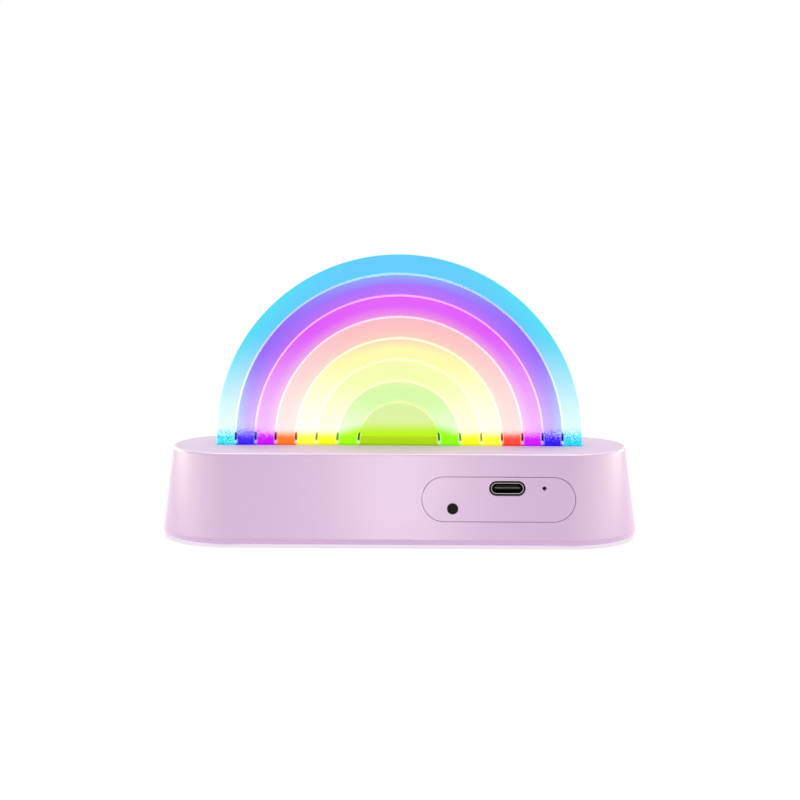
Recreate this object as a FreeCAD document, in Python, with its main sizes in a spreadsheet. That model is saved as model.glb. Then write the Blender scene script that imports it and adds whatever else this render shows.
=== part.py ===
import FreeCAD, Part
import Sketcher
import math
import os
import types

# Rainbow lamp: a clear acrylic rainbow stands in a slot of a drafted base with full-round ends.
# Millimetres, +Z up, origin on the table under the middle of the base, port panel on the -Y side.

doc = FreeCAD.newDocument("rainbow_lamp")

# Driving dimensions
DIMENSIONS = {
    # base shell
    "base_end_margin": 11.9,
    "base_top_depth": 32.0,
    "base_height": 24.2,
    "draft_angle": 7.9,
    "side_wall": 2.0,
    "top_wall": 2.0,
    "top_edge_round": 0.7,
    "bottom_edge_round": 1.5,
    # rainbow plate
    "plate_radius": 49.7,
    "plate_centre_rise": 2.2,
    "plate_thickness": 4.0,
    "plate_root_depth": 5.5,
    "plate_ear": 1.5,
    "plate_clearance": 0.2,
    "outer_band": 5.2,
    "first_slit_radius": 11.0,
    "slit_narrowing": 0.075,
    "slit_width": 0.45,
    "slit_foot": 0.5,
    "slit_leg": 0.2,
    "slit_leg_growth": 0.034,
    # plate holder and its lights
    "holder_depth": 9.6,
    "holder_end_wall": 1.2,
    "holder_tab_length": 5.0,
    "holder_screw_spacing": 5.2,
    "light_cell_height": 2.0,
    "light_cell_length": 4.2,
    "disc_light_spacing": 5.6,
    "led_board_depth": 9.0,
    "led_board_thickness": 1.2,
    "led_length": 3.5,
    "led_depth": 2.8,
    "led_height": 1.4,
    # bottom cover and feet
    "cover_thickness": 2.0,
    "cover_clearance": 0.15,
    "cover_web": 1.2,
    "foot_stand": 0.8,
    "foot_recess": 0.8,
    "foot_radius": 4.5,
    "foot_clearance": 0.1,
    "foot_rim": 1.2,
    "foot_end_inset": 15.75,
    "foot_side_inset": 6.0,
    # port panel
    "panel_end_inset": 34.73,
    "panel_drop": 11.87,
    "panel_length": 40.5,
    "panel_height": 11.6,
    "panel_gap": 0.15,
    "panel_flange": 1.2,
    "panel_flange_thickness": 1.0,
    "tape_thickness": 0.2,
    # socket, placed from the middle of the panel
    "usb_offset": 2.27,
    "usb_lift": 2.88,
    "usb_width": 8.94,
    "usb_height": 3.26,
    "usb_depth": 7.35,
    "usb_sheet": 0.3,
    "usb_recess": 0.3,
    "usb_mouth_gap": 0.35,
    "tongue_width": 6.69,
    "tongue_thickness": 0.7,
    "tongue_length": 4.45,
    "tongue_setback": 0.9,
    "contact_pitch": 0.5,
    "contact_width": 0.26,
    "contact_thickness": 0.08,
    "contact_length": 3.4,
    "usb_leg_width": 1.0,
    "usb_leg_reach": 1.9,
    "usb_leg_clearance": 0.15,
    # button, placed from the middle of the panel, and the switch behind it
    "button_offset": 12.17,
    "button_drop": 2.5,
    "button_radius": 1.4,
    "button_gap": 0.08,
    "button_proud": 0.25,
    "button_flange": 0.85,
    "button_flange_thickness": 0.6,
    "button_travel": 0.25,
    "guide_wall": 1.2,
    "guide_depth": 3.8,
    "switch_width": 6.0,
    "switch_depth": 3.4,
    "switch_stem_radius": 1.1,
    "switch_stem_gap": 0.08,
    "switch_stem_length": 1.8,
    "switch_stand_off": 0.75,
    # microphone, placed from the middle of the panel
    "mic_offset": 12.06,
    "mic_lift": 2.95,
    "mic_hole_radius": 0.55,
    "mic_radius": 3.0,
    "mic_depth": 2.2,
    "mic_gasket_thickness": 0.8,
    "mic_gasket_bore": 1.5,
    "mic_pin_length": 2.3,
    "mic_pin_radius": 0.25,
    "mic_pin_spacing": 2.54,
    # main board
    "board_thickness": 1.6,
    "board_left_margin": 8.94,
    "board_right_margin": 3.34,
    "board_rear_gap": 3.0,
    "board_screw_inset": 3.0,
    "board_notch_gap": 0.35,
    "main_chip_side": 6.0,
    "charge_chip_length": 4.9,
    "charge_chip_depth": 3.9,
    "chip_height": 1.0,
    "chip_gap": 0.55,
    "header_pitch": 2.0,
    "header_depth": 2.0,
    "header_pin_radius": 0.3,
    "header_pin_reach": 0.6,
    "header_pin_clearance": 0.1,
    # battery
    "battery_length": 40.0,
    "battery_depth": 26.0,
    "battery_thickness": 4.5,
    "battery_edge_round": 1.5,
    "battery_gap": 0.7,
    "battery_tape_thickness": 0.5,
    "battery_tape_margin": 4.0,
    "lead_radius": 0.65,
    "lead_spacing": 2.4,
    "lead_bend": 2.5,
    "lead_inset": 5.5,
    # screws and their bosses
    "thread_clearance": 0.05,
    "hole_clearance": 0.2,
    "cover_screw_radius": 1.25,
    "cover_screw_length": 8.0,
    "cover_head_radius": 2.2,
    "cover_head_height": 1.5,
    "cover_boss_radius": 3.0,
    "small_screw_radius": 1.0,
    "small_screw_length": 6.0,
    "small_head_radius": 1.8,
    "small_head_height": 1.3,
    "board_boss_radius": 2.5,
    "holder_boss_radius": 2.2,
    "cross_length": 2.2,
    "cross_width": 0.5,
    "cross_depth": 0.7,
}
SLITS = 7
CONTACTS_PER_SIDE = 12
HEADER_PINS = 4
# How far a cutting shape reaches past the face that it opens.
OVERSHOOT = 1.0

sheet = doc.addObject("Spreadsheet::Sheet", "sizes")
for row, (alias, value) in enumerate(DIMENSIONS.items(), start=1):
    sheet.set(f"A{row}", alias.replace("_", " "))
    sheet.set(f"B{row}", str(value))
    sheet.setAlias(f"B{row}", alias)
doc.recompute()


class Formula:
    """An expression over the sheet's cells that adds, subtracts and scales like a number."""

    def __init__(self, text):
        self.text = str(text)

    def __str__(self):
        return self.text

    def __add__(self, other):
        return Formula(f"({self} + ({other}))")

    def __sub__(self, other):
        return Formula(f"({self} - ({other}))")

    def __mul__(self, factor):
        return Formula(f"({self} * ({factor}))")

    def __truediv__(self, divisor):
        return Formula(f"({self} / ({divisor}))")

    def __neg__(self):
        return Formula(f"(0 - {self})")

    def value(self):
        """The number that it comes to now, for a sketch's first guess, a fillet or a swept path."""
        return float(sheet.evalExpression(self.text))


ZERO = Formula(0)
s = types.SimpleNamespace(**{alias: Formula(f"sizes.{alias}") for alias in DIMENSIONS})

# Heights and outlines that several pieces share
base_low = s.foot_stand
base_top = base_low + s.base_height
ceiling = base_top - s.top_wall
base_half_length = s.plate_radius + s.base_end_margin
end_centre = base_half_length - s.base_top_depth / 2
flank_slope = Formula(f"tan({s.draft_angle} * 1deg)")


def flank(height, inset=ZERO):
    """Half the base's depth at a height, less an inset."""
    return s.base_top_depth / 2 + (base_top - height) * flank_slope - inset


cover_top = base_low + s.cover_thickness
cover_seat = base_low + s.foot_recess + s.cover_head_height
pad_top = cover_seat + s.cover_web
pad_radius = s.foot_radius + s.foot_clearance + s.foot_rim
foot_x = base_half_length - s.foot_end_inset
foot_y = s.base_top_depth / 2 - s.foot_side_inset

plate_root = base_top - s.plate_root_depth
ear_half = s.plate_radius + s.plate_ear
slot_depth = s.plate_thickness + s.plate_clearance * 2
led_board_top = plate_root - s.light_cell_height
led_board_low = led_board_top - s.led_board_thickness
pocket_half = ear_half + s.plate_clearance
holder_wall_end = pocket_half + s.holder_end_wall
holder_end = holder_wall_end + s.holder_tab_length
holder_screw_x = holder_wall_end + s.holder_tab_length / 2

panel_x = base_half_length - s.panel_end_inset
panel_z = base_top - s.panel_drop
panel_start = -flank(base_low) - OVERSHOOT
panel_reach = flank(base_low) / 2
tape_inset = s.side_wall + s.tape_thickness
flange_inset = tape_inset + s.panel_flange_thickness

usb_x = panel_x + s.usb_offset
usb_z = panel_z + s.usb_lift
usb_front = -flank(usb_z) + s.usb_recess
usb_rear = usb_front + s.usb_depth
board_top = usb_z - s.usb_height / 2
board_low = board_top - s.board_thickness

button_x = panel_x - s.button_offset
button_z = panel_z - s.button_drop
guide_end = -flank(button_z) + s.guide_depth
cap_rear = guide_end + s.button_gap + s.button_flange_thickness

mic_x = panel_x + s.mic_offset
mic_z = panel_z + s.mic_lift
mic_front = -flank(mic_z, flange_inset) + s.mic_gasket_thickness
mic_rear = mic_front + s.mic_depth

board_front = cap_rear + s.switch_stand_off
board_rear = flank(board_low, s.side_wall) - s.board_rear_gap
board_left = button_x - s.board_left_margin
board_right = mic_x + s.board_right_margin

battery_low = cover_top + s.battery_tape_thickness
battery_right = -foot_x + pad_radius + s.battery_gap + s.battery_length
battery_middle = battery_right - s.battery_length / 2

CORNERS = [("left_front", -1, -1), ("left_rear", -1, 1), ("right_front", 1, -1), ("right_rear", 1, 1)]
cover_spots = [(corner, foot_x * sx, foot_y * sy) for corner, sx, sy in CORNERS]
holder_spots = [(corner, holder_screw_x * sx, s.holder_screw_spacing / 2 * sy) for corner, sx, sy in CORNERS]
board_spots = [("left_front", board_left + s.board_screw_inset, board_front + s.board_screw_inset),
               ("left_rear", board_left + s.board_screw_inset, board_rear - s.board_screw_inset),
               ("right_rear", board_right - s.board_screw_inset, board_rear - s.board_screw_inset)]

# Building helpers
X_AXIS = FreeCAD.Vector(1, 0, 0)
UPRIGHT = FreeCAD.Rotation()
ALONG_Y = FreeCAD.Rotation(X_AXIS, -90)
SIDES = (("left", -1), ("right", 1))


def bind(item, **formulas):
    for name, formula in formulas.items():
        item.setExpression(name, str(formula))
    return item


def place(item, x, y, z, rotation=UPRIGHT):
    item.Placement.Rotation = rotation
    for axis, formula in zip("xyz", (x, y, z)):
        item.setExpression(f"Placement.Base.{axis}", str(formula))
    return item


def box(name, low, high):
    """A box between two corners."""
    item = doc.addObject("Part::Box", name)
    length, depth, height = (end - start for start, end in zip(low, high))
    bind(item, Length=length, Width=depth, Height=height)
    return place(item, *low)


def block(name, x, y, z, length, depth, height):
    """A box centred on x and y that stands on z."""
    low = (x - length / 2, y - depth / 2, z)
    return box(name, low, (x + length / 2, y + depth / 2, z + height))


def rod(name, x, y, z, radius, length, rotation=UPRIGHT):
    item = doc.addObject("Part::Cylinder", name)
    bind(item, Radius=radius, Height=length)
    return place(item, x, y, z, rotation)


def fuse(name, items):
    item = doc.addObject("Part::MultiFuse", name)
    item.Shapes = items
    item.Refine = True
    return item


def common(name, first, second):
    item = doc.addObject("Part::MultiCommon", name)
    item.Shapes = [first, second]
    return item


def cut(name, base, tools):
    item = doc.addObject("Part::Cut", name)
    item.Base = base
    item.Tool = tools[0] if len(tools) == 1 else fuse(f"{name}_tools", tools)
    return item


def group(name, items):
    item = doc.addObject("Part::Compound", name)
    item.Links = items
    return item


def drafted(name, low, high, inset=ZERO):
    """A solid with full-round ends whose flank runs parallel to the base's, an inset behind it."""
    ends = []
    for side, sign in SIDES:
        cone = doc.addObject("Part::Cone", f"{name}_{side}_end")
        bind(cone, Radius1=flank(low, inset), Radius2=flank(high, inset), Height=high - low)
        ends.append(place(cone, end_centre * sign, ZERO, low))
    middle = doc.addObject("Part::Wedge", f"{name}_middle")
    bind(middle, Xmin=-end_centre, Xmax=end_centre, X2min=-end_centre, X2max=end_centre)
    bind(middle, Ymin=ZERO, Ymax=high - low)
    bind(middle, Zmin=-flank(low, inset), Zmax=flank(low, inset))
    bind(middle, Z2min=-flank(high, inset), Z2max=flank(high, inset))
    place(middle, ZERO, ZERO, low, FreeCAD.Rotation(X_AXIS, 90))
    return fuse(name, ends + [middle])


def lozenge(name, x, z, length, height, start, depth):
    """A bar along +Y with full-round ends, centred on x and z."""
    reach = (length - height) / 2
    ends = [rod(f"{name}_{side}_end", x + reach * sign, start, z, height / 2, depth, ALONG_Y)
            for side, sign in SIDES]
    middle = block(f"{name}_middle", x, start + depth / 2, z - height / 2, length - height, depth, height)
    return fuse(name, ends + [middle])


def screw(name, x, y, seat, radius, length, head_radius, head_height):
    """A pan-head screw driven upwards, its head below the seat, with a cross recess."""
    shank = rod(f"{name}_shank", x, y, seat, radius, length)
    head = rod(f"{name}_head", x, y, seat - head_height, head_radius, head_height)
    bars = [block(f"{name}_bar_one", x, y, seat - head_height, s.cross_length, s.cross_width, s.cross_depth),
            block(f"{name}_bar_two", x, y, seat - head_height, s.cross_width, s.cross_length, s.cross_depth)]
    return cut(name, fuse(f"{name}_blank", [shank, head]), bars)


def small_screws(name, spots, seat):
    return group(name, [screw(f"{name}_{spot}", x, y, seat, s.small_screw_radius, s.small_screw_length,
                              s.small_head_radius, s.small_head_height) for spot, x, y in spots])


def screw_ways(name, spots, low, high, radius):
    """Clearance holes for screws, between two heights."""
    return [rod(f"{name}_{spot}", x, y, low, radius + s.hole_clearance, high - low) for spot, x, y in spots]


# Base shell: a drafted tub, open below, with the plate's slot, the panel's opening and screw bosses.
base_blank = drafted("base_blank", base_low, base_top)
cavity = drafted("cavity", base_low - OVERSHOOT, ceiling, s.side_wall)
doc.recompute()


def edge_rounds(shape):
    """The blank's level edges with their fillet radii, small round the top and larger round the bottom."""
    rounds = []
    for index, edge in enumerate(shape.Edges, start=1):
        if edge.BoundBox.ZLength < 1e-6:
            at_top = edge.BoundBox.ZMax > shape.BoundBox.Center.z
            radius = (s.top_edge_round if at_top else s.bottom_edge_round).value()
            rounds.append((index, radius, radius))
    return rounds


base_rounded = doc.addObject("Part::Fillet", "base_rounded")
base_rounded.Base = base_blank
base_rounded.Edges = edge_rounds(base_blank.Shape)


def panel_bar(name, grow):
    """The panel's outline as a bar through the wall, grown all round."""
    return lozenge(name, panel_x, panel_z, s.panel_length + grow * 2, s.panel_height + grow * 2,
                   panel_start, panel_reach)


slot_length = (s.plate_radius + s.plate_clearance) * 2
plate_slot = block("plate_slot", ZERO, ZERO, ceiling - OVERSHOOT, slot_length, slot_depth,
                   s.top_wall + 2 * OVERSHOOT)
panel_opening = panel_bar("panel_opening", s.panel_gap)
shell_hollow = cut("shell_hollow", base_rounded, [cavity, plate_slot, panel_opening])
bosses = []
pilots = []


def add_bosses(name, spots, low, radius, screw_radius):
    """Posts from the ceiling down to low, each with a blind pilot hole for a self-tapping screw."""
    for spot, x, y in spots:
        bosses.append(rod(f"{name}_boss_{spot}", x, y, low, radius, ceiling + s.top_wall / 2 - low))
        pilots.append(rod(f"{name}_pilot_{spot}", x, y, low - OVERSHOOT, screw_radius + s.thread_clearance,
                          ceiling - low + OVERSHOOT))


add_bosses("cover", cover_spots, pad_top, s.cover_boss_radius, s.cover_screw_radius)
add_bosses("board", board_spots, board_top, s.board_boss_radius, s.small_screw_radius)
add_bosses("holder", holder_spots, plate_root, s.holder_boss_radius, s.small_screw_radius)
base_shell = cut("base_shell", fuse("shell_with_bosses", [shell_hollow] + bosses), pilots)

# Bottom cover: drops into the open underside, with a thick pad at each foot that hides a screw's head.
cover_plate = drafted("cover_plate", base_low, cover_top, s.side_wall + s.cover_clearance)
pads = []
recesses = []
for spot, x, y in cover_spots:
    pads.append(rod(f"pad_{spot}", x, y, base_low, pad_radius, pad_top - base_low))
    recesses.append(rod(f"foot_recess_{spot}", x, y, base_low - OVERSHOOT, s.foot_radius + s.foot_clearance,
                        s.foot_recess + OVERSHOOT))
cover_holes = screw_ways("head_recess", cover_spots, base_low, cover_seat, s.cover_head_radius)
cover_holes += screw_ways("cover_hole", cover_spots, base_low, pad_top + OVERSHOOT, s.cover_screw_radius)
bottom_cover = cut("bottom_cover", fuse("cover_with_pads", [cover_plate] + pads), recesses + cover_holes)

cover_screws = group("cover_screws", [
    screw(f"cover_screw_{spot}", x, y, cover_seat, s.cover_screw_radius, s.cover_screw_length,
          s.cover_head_radius, s.cover_head_height) for spot, x, y in cover_spots])
foot_height = s.foot_stand + s.foot_recess
rubber_feet = group("rubber_feet", [rod(f"foot_{spot}", x, y, ZERO, s.foot_radius, foot_height)
                                    for spot, x, y in cover_spots])

# Sketching helpers for the plate's front view
# A sketch counts the points of an edge up from 1, and its own two axes down from -1.
START, END, CENTRE = range(1, 4)
LEVEL_AXIS, UP_AXIS = range(-1, -3, -1)
ORIGIN_POINT = (LEVEL_AXIS, START)
UP = FreeCAD.Vector(0, 0, 1)


def point(x, z):
    return FreeCAD.Vector(x, z, 0)


def line(x1, z1, x2, z2):
    return Part.LineSegment(point(x1, z1), point(x2, z2))


def upper_half(z, radius):
    """A half circle over the middle line, drawn from right to left."""
    return Part.ArcOfCircle(Part.Circle(point(0, z), UP, radius), 0, math.pi)


def lower_half(x, z, radius):
    """A half circle that bulges down, drawn from left to right."""
    return Part.ArcOfCircle(Part.Circle(point(x, z), UP, radius), math.pi, 2 * math.pi)


def front_sketch(body, name):
    front = next(feature for feature in body.Origin.OriginFeatures if feature.Role == "XZ_Plane")
    sketch = body.newObject("Sketcher::SketchObject", name)
    sketch.AttachmentSupport = [(front, "")]
    sketch.MapMode = "FlatFace"
    return sketch


def rule(sketch, kind, *arguments):
    return sketch.addConstraint(Sketcher.Constraint(kind, *arguments))


def dimension(sketch, name, formula, kind, *arguments):
    """A dimension of the sketch, bound to a formula."""
    index = rule(sketch, kind, *arguments, formula.value())
    sketch.renameConstraint(index, name)
    sketch.setExpression(f"Constraints.{name}", str(formula))


# Rainbow plate: one sheet with an arched outline, ears under the ceiling and arched slits right through.
rainbow_plate = doc.addObject("PartDesign::Body", "rainbow_plate")
arch_centre = base_top + s.plate_centre_rise


def plate_outline():
    """The arch, its straight legs and the wider foot that the ceiling holds down."""
    sketch = front_sketch(rainbow_plate, "plate_outline")
    radius, wide = s.plate_radius.value(), ear_half.value()
    top, shoulder, root = arch_centre.value(), ceiling.value(), plate_root.value()
    sketch.addGeometry([upper_half(top, radius),
                        line(-radius, top, -radius, shoulder),
                        line(-radius, shoulder, -wide, shoulder),
                        line(-wide, shoulder, -wide, root),
                        line(-wide, root, wide, root),
                        line(wide, root, wide, shoulder),
                        line(wide, shoulder, radius, shoulder),
                        line(radius, shoulder, radius, top)], False)
    for first in range(1, 7):
        rule(sketch, "Coincident", first, END, first + 1, START)
    rule(sketch, "Tangent", 0, END, 1, START)
    rule(sketch, "Tangent", 7, END, 0, START)
    for upright in (1, 3, 5, 7):
        rule(sketch, "Vertical", upright)
    for level in (2, 6):
        rule(sketch, "Horizontal", level)
    rule(sketch, "Horizontal", 2, START, 6, END)
    rule(sketch, "Symmetric", 4, START, 4, END, UP_AXIS)
    rule(sketch, "PointOnObject", 0, CENTRE, UP_AXIS)
    dimension(sketch, "arch_radius", s.plate_radius, "Radius", 0)
    dimension(sketch, "arch_height", arch_centre, "DistanceY", *ORIGIN_POINT, 0, CENTRE)
    dimension(sketch, "shoulder_height", ceiling, "DistanceY", *ORIGIN_POINT, 2, START)
    dimension(sketch, "root_height", plate_root, "DistanceY", *ORIGIN_POINT, 4, START)
    dimension(sketch, "foot_half", ear_half, "DistanceX", *ORIGIN_POINT, 4, END)
    return sketch


def narrowed(k):
    """How far the narrowing of the bands has drawn slit k in."""
    return s.slit_narrowing * (k * (k - 1) / 2)


slit_span = s.plate_radius - s.outer_band - s.first_slit_radius
slit_pitch = (slit_span + narrowed(SLITS - 1)) / (SLITS - 1)


def slit_radius(k):
    """Middle radius of slit k, counted from the inside; the bands narrow a little outwards."""
    return s.first_slit_radius + slit_pitch * k - narrowed(k)


def slit_outline(k):
    """An arched slit: two concentric half circles, straight legs and round feet."""
    sketch = front_sketch(rainbow_plate, f"slit_{k}")
    outer = slit_radius(k) + s.slit_width / 2
    inner = slit_radius(k) - s.slit_width / 2
    foot = base_top + s.slit_foot + s.slit_width / 2
    centre = foot + s.slit_leg + s.slit_leg_growth * k ** 2
    far, near, top, low = outer.value(), inner.value(), centre.value(), foot.value()
    middle, end_radius = slit_radius(k).value(), s.slit_width.value() / 2
    sketch.addGeometry([upper_half(top, far),
                        line(-far, top, -far, low),
                        lower_half(-middle, low, end_radius),
                        line(-near, low, -near, top),
                        upper_half(top, near),
                        line(near, top, near, low),
                        lower_half(middle, low, end_radius),
                        line(far, low, far, top)], False)
    for meeting in ((0, END, 1, START), (1, END, 2, START), (2, END, 3, START), (3, END, 4, END),
                    (4, START, 5, START), (5, END, 6, START), (6, END, 7, START), (7, END, 0, START)):
        rule(sketch, "Tangent", *meeting)
    for upright in (1, 3, 5, 7):
        rule(sketch, "Vertical", upright)
    rule(sketch, "Coincident", 0, CENTRE, 4, CENTRE)
    rule(sketch, "PointOnObject", 0, CENTRE, UP_AXIS)
    dimension(sketch, "outer_radius", outer, "Radius", 0)
    dimension(sketch, "inner_radius", inner, "Radius", 4)
    dimension(sketch, "centre_height", centre, "DistanceY", *ORIGIN_POINT, 0, CENTRE)
    dimension(sketch, "left_foot_height", foot, "DistanceY", *ORIGIN_POINT, 2, CENTRE)
    dimension(sketch, "right_foot_height", foot, "DistanceY", *ORIGIN_POINT, 6, CENTRE)
    return sketch


plate_pad = rainbow_plate.newObject("PartDesign::Pad", "plate_pad")
plate_pad.Profile = plate_outline()
plate_pad.SideType = "Symmetric"
bind(plate_pad, Length=s.plate_thickness)
doc.recompute()
for k in range(SLITS):
    outline = slit_outline(k)
    pocket = rainbow_plate.newObject("PartDesign::Pocket", f"slit_{k}_cut")
    pocket.Profile = outline
    pocket.Type = "ThroughAll"
    pocket.SideType = "Symmetric"
doc.recompute()

# Plate holder: a trough that traps the plate's ears under the ceiling, with a cell for each light.
band_edges = [slit_radius(k) for k in range(SLITS)] + [s.plate_radius]
band_middles = [(inner + outer) / 2 for inner, outer in zip(band_edges, band_edges[1:])]
light_places = [ZERO]
for middle in [s.disc_light_spacing] + band_middles:
    light_places += [-middle, middle]

holder_trough = block("holder_trough", ZERO, ZERO, led_board_top, holder_wall_end * 2, s.holder_depth,
                      ceiling - led_board_top)
holder_tabs = block("holder_tabs", ZERO, ZERO, led_board_top, holder_end * 2, s.holder_depth,
                    s.light_cell_height)
plate_pocket = block("plate_pocket", ZERO, ZERO, plate_root, pocket_half * 2, slot_depth, s.plate_root_depth)
light_cells = [block(f"light_cell_{i}", x, ZERO, led_board_top - OVERSHOOT, s.light_cell_length,
                     s.plate_thickness, s.light_cell_height + 2 * OVERSHOOT)
               for i, x in enumerate(light_places)]
holder_ways = screw_ways("holder_way", holder_spots, led_board_low - OVERSHOOT, plate_root + OVERSHOOT,
                         s.small_screw_radius)
plate_holder = cut("plate_holder", fuse("holder_blank", [holder_trough, holder_tabs]),
                   [plate_pocket] + light_cells + holder_ways)

# Header between the two boards: a plastic bar on the main board, with pins soldered through both.
header_x = (board_left + board_right) / 2
pin_low = board_low - s.header_pin_reach
pin_places = [header_x + s.header_pitch * (i - (HEADER_PINS - 1) / 2) for i in range(HEADER_PINS)]
header_bar = block("header_bar", header_x, ZERO, board_top, s.header_pitch * HEADER_PINS, s.header_depth,
                   led_board_low - board_top)
header_pins = [rod(f"header_pin_{i}", x, ZERO, pin_low, s.header_pin_radius, led_board_top - pin_low)
               for i, x in enumerate(pin_places)]
board_header = fuse("board_header", [header_bar] + header_pins)
pin_holes = [rod(f"pin_hole_{i}", x, ZERO, pin_low, s.header_pin_radius + s.header_pin_clearance,
                 led_board_top - pin_low + OVERSHOOT) for i, x in enumerate(pin_places)]

# LED board under the holder, with a light under each leg of each band and three under the inner disc.
led_board_blank = block("led_board_blank", ZERO, ZERO, led_board_low, holder_end * 2, s.led_board_depth,
                        s.led_board_thickness)
led_board = cut("led_board", led_board_blank, holder_ways + pin_holes)
leds = group("leds", [block(f"led_{i}", x, ZERO, led_board_top, s.led_length, s.led_depth, s.led_height)
                      for i, x in enumerate(light_places)])
holder_screws = small_screws("holder_screws", holder_spots, led_board_low)

# Port panel: flush with the drafted wall, held by a flange that is taped to the wall's inner face.
tape_face = drafted("tape_face", base_low, ceiling, tape_inset)
flange_face = drafted("flange_face", base_low, ceiling, flange_inset)
flange_bar = panel_bar("flange_bar", s.panel_flange)
panel_plug = common("panel_plug", panel_bar("plug_bar", ZERO), cut("plug_wall", base_blank, [tape_face]))
panel_flange = common("panel_flange", flange_bar, cut("flange_wall", tape_face, [flange_face]))
guide_start = -flank(button_z, s.side_wall)
bore_radius = s.button_radius + s.button_gap
button_guide = rod("button_guide", button_x, guide_start, button_z, bore_radius + s.guide_wall,
                   guide_end - guide_start, ALONG_Y)
usb_mouth = lozenge("usb_mouth", usb_x, usb_z, s.usb_width + s.usb_mouth_gap * 2,
                    s.usb_height + s.usb_mouth_gap * 2, panel_start, panel_reach)
button_bore = rod("button_bore", button_x, panel_start, button_z, bore_radius, panel_reach, ALONG_Y)
mic_hole = rod("mic_hole", mic_x, panel_start, mic_z, s.mic_hole_radius, panel_reach, ALONG_Y)
port_panel = cut("port_panel", fuse("panel_blank", [panel_plug, panel_flange, button_guide]),
                 [usb_mouth, button_bore, mic_hole])

tape_band = common("tape_band", flange_bar, cut("tape_wall", cavity, [tape_face]))
panel_tape = cut("panel_tape", tape_band, [panel_opening])

# USB-C socket on the main board: rolled steel shell with legs, insulating tongue and gold contacts.
usb_inner_width = s.usb_width - s.usb_sheet * 2
usb_inner_height = s.usb_height - s.usb_sheet * 2
usb_back = usb_rear - s.usb_sheet
usb_tube = lozenge("usb_tube", usb_x, usb_z, s.usb_width, s.usb_height, usb_front, s.usb_depth)
usb_hollow = lozenge("usb_hollow", usb_x, usb_z, usb_inner_width, usb_inner_height, usb_front - OVERSHOOT,
                     usb_back - usb_front + OVERSHOOT)
leg_x = s.usb_width / 2 - s.usb_sheet / 2
leg_low = board_top - s.usb_leg_reach
usb_legs = []
leg_holes = []
for side, sign in SIDES:
    for end, y in (("front", board_front + s.usb_leg_width), ("rear", usb_rear - s.usb_leg_width)):
        usb_legs.append(block(f"usb_leg_{side}_{end}", usb_x + leg_x * sign, y, leg_low, s.usb_sheet,
                              s.usb_leg_width, usb_z - leg_low))
        leg_holes.append(block(f"leg_hole_{side}_{end}", usb_x + leg_x * sign, y, board_low - OVERSHOOT,
                               s.usb_sheet + s.usb_leg_clearance * 2,
                               s.usb_leg_width + s.usb_leg_clearance * 2,
                               s.board_thickness + 2 * OVERSHOOT))
usb_shell = cut("usb_shell", fuse("usb_shell_blank", [usb_tube] + usb_legs), [usb_hollow])

tongue_tip = usb_front + s.tongue_setback
tongue_root = tongue_tip + s.tongue_length
tongue_block = lozenge("tongue_block", usb_x, usb_z, usb_inner_width, usb_inner_height, tongue_root,
                       usb_back - tongue_root)
tongue_blade = block("tongue_blade", usb_x, (tongue_tip + usb_back) / 2, usb_z - s.tongue_thickness / 2,
                     s.tongue_width, usb_back - tongue_tip, s.tongue_thickness)
usb_tongue = fuse("usb_tongue", [tongue_block, tongue_blade])

contact_faces = (("upper", usb_z + s.tongue_thickness / 2),
                 ("lower", usb_z - s.tongue_thickness / 2 - s.contact_thickness))
usb_contacts = group("usb_contacts", [
    block(f"contact_{face}_{i}", usb_x + s.contact_pitch * (i - (CONTACTS_PER_SIDE - 1) / 2),
          tongue_root - s.contact_length / 2, z, s.contact_width, s.contact_length, s.contact_thickness)
    for face, z in contact_faces for i in range(CONTACTS_PER_SIDE)])

# Button cap in its guide, and the side-push switch under the main board that it works.
cap_front = -flank(button_z) - s.button_proud
cap_stem = rod("cap_stem", button_x, cap_front, button_z, s.button_radius, cap_rear - cap_front, ALONG_Y)
cap_flange = rod("cap_flange", button_x, guide_end + s.button_gap, button_z,
                 s.button_radius + s.button_flange, s.button_flange_thickness, ALONG_Y)
button_cap = fuse("button_cap", [cap_stem, cap_flange])

stem_length = s.switch_stand_off + s.switch_stem_length
switch_plunger = rod("switch_plunger", button_x, cap_rear, button_z, s.switch_stem_radius, stem_length,
                     ALONG_Y)
switch_height = (board_low - button_z) * 2
switch_block = block("switch_block", button_x, board_front + s.switch_depth / 2, board_low - switch_height,
                     s.switch_width, s.switch_depth, switch_height)
stem_bore = rod("stem_bore", button_x, cap_rear, button_z, s.switch_stem_radius + s.switch_stem_gap,
                stem_length + s.button_travel + s.switch_stem_gap, ALONG_Y)
switch_body = cut("switch_body", switch_block, [stem_bore])

# Microphone capsule at the board's notched edge, sealed to the panel round the pinhole.
capsule = rod("capsule", mic_x, mic_front, mic_z, s.mic_radius, s.mic_depth, ALONG_Y)
mic_pins = [rod(f"mic_pin_{side}", mic_x + s.mic_pin_spacing / 2 * sign, mic_rear - s.mic_depth / 2,
                board_top + s.mic_pin_radius, s.mic_pin_radius, s.mic_depth / 2 + s.mic_pin_length, ALONG_Y)
            for side, sign in SIDES]
microphone = fuse("microphone", [capsule] + mic_pins)

gasket_start = -flank(base_low)
gasket_reach = mic_front - gasket_start
gasket_bar = rod("gasket_bar", mic_x, gasket_start, mic_z, s.mic_radius, gasket_reach, ALONG_Y)
gasket_bore = rod("gasket_bore", mic_x, gasket_start, mic_z, s.mic_gasket_bore, gasket_reach, ALONG_Y)
mic_gasket = cut("mic_gasket", common("gasket_blank", gasket_bar, flange_face), [gasket_bore])

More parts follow.
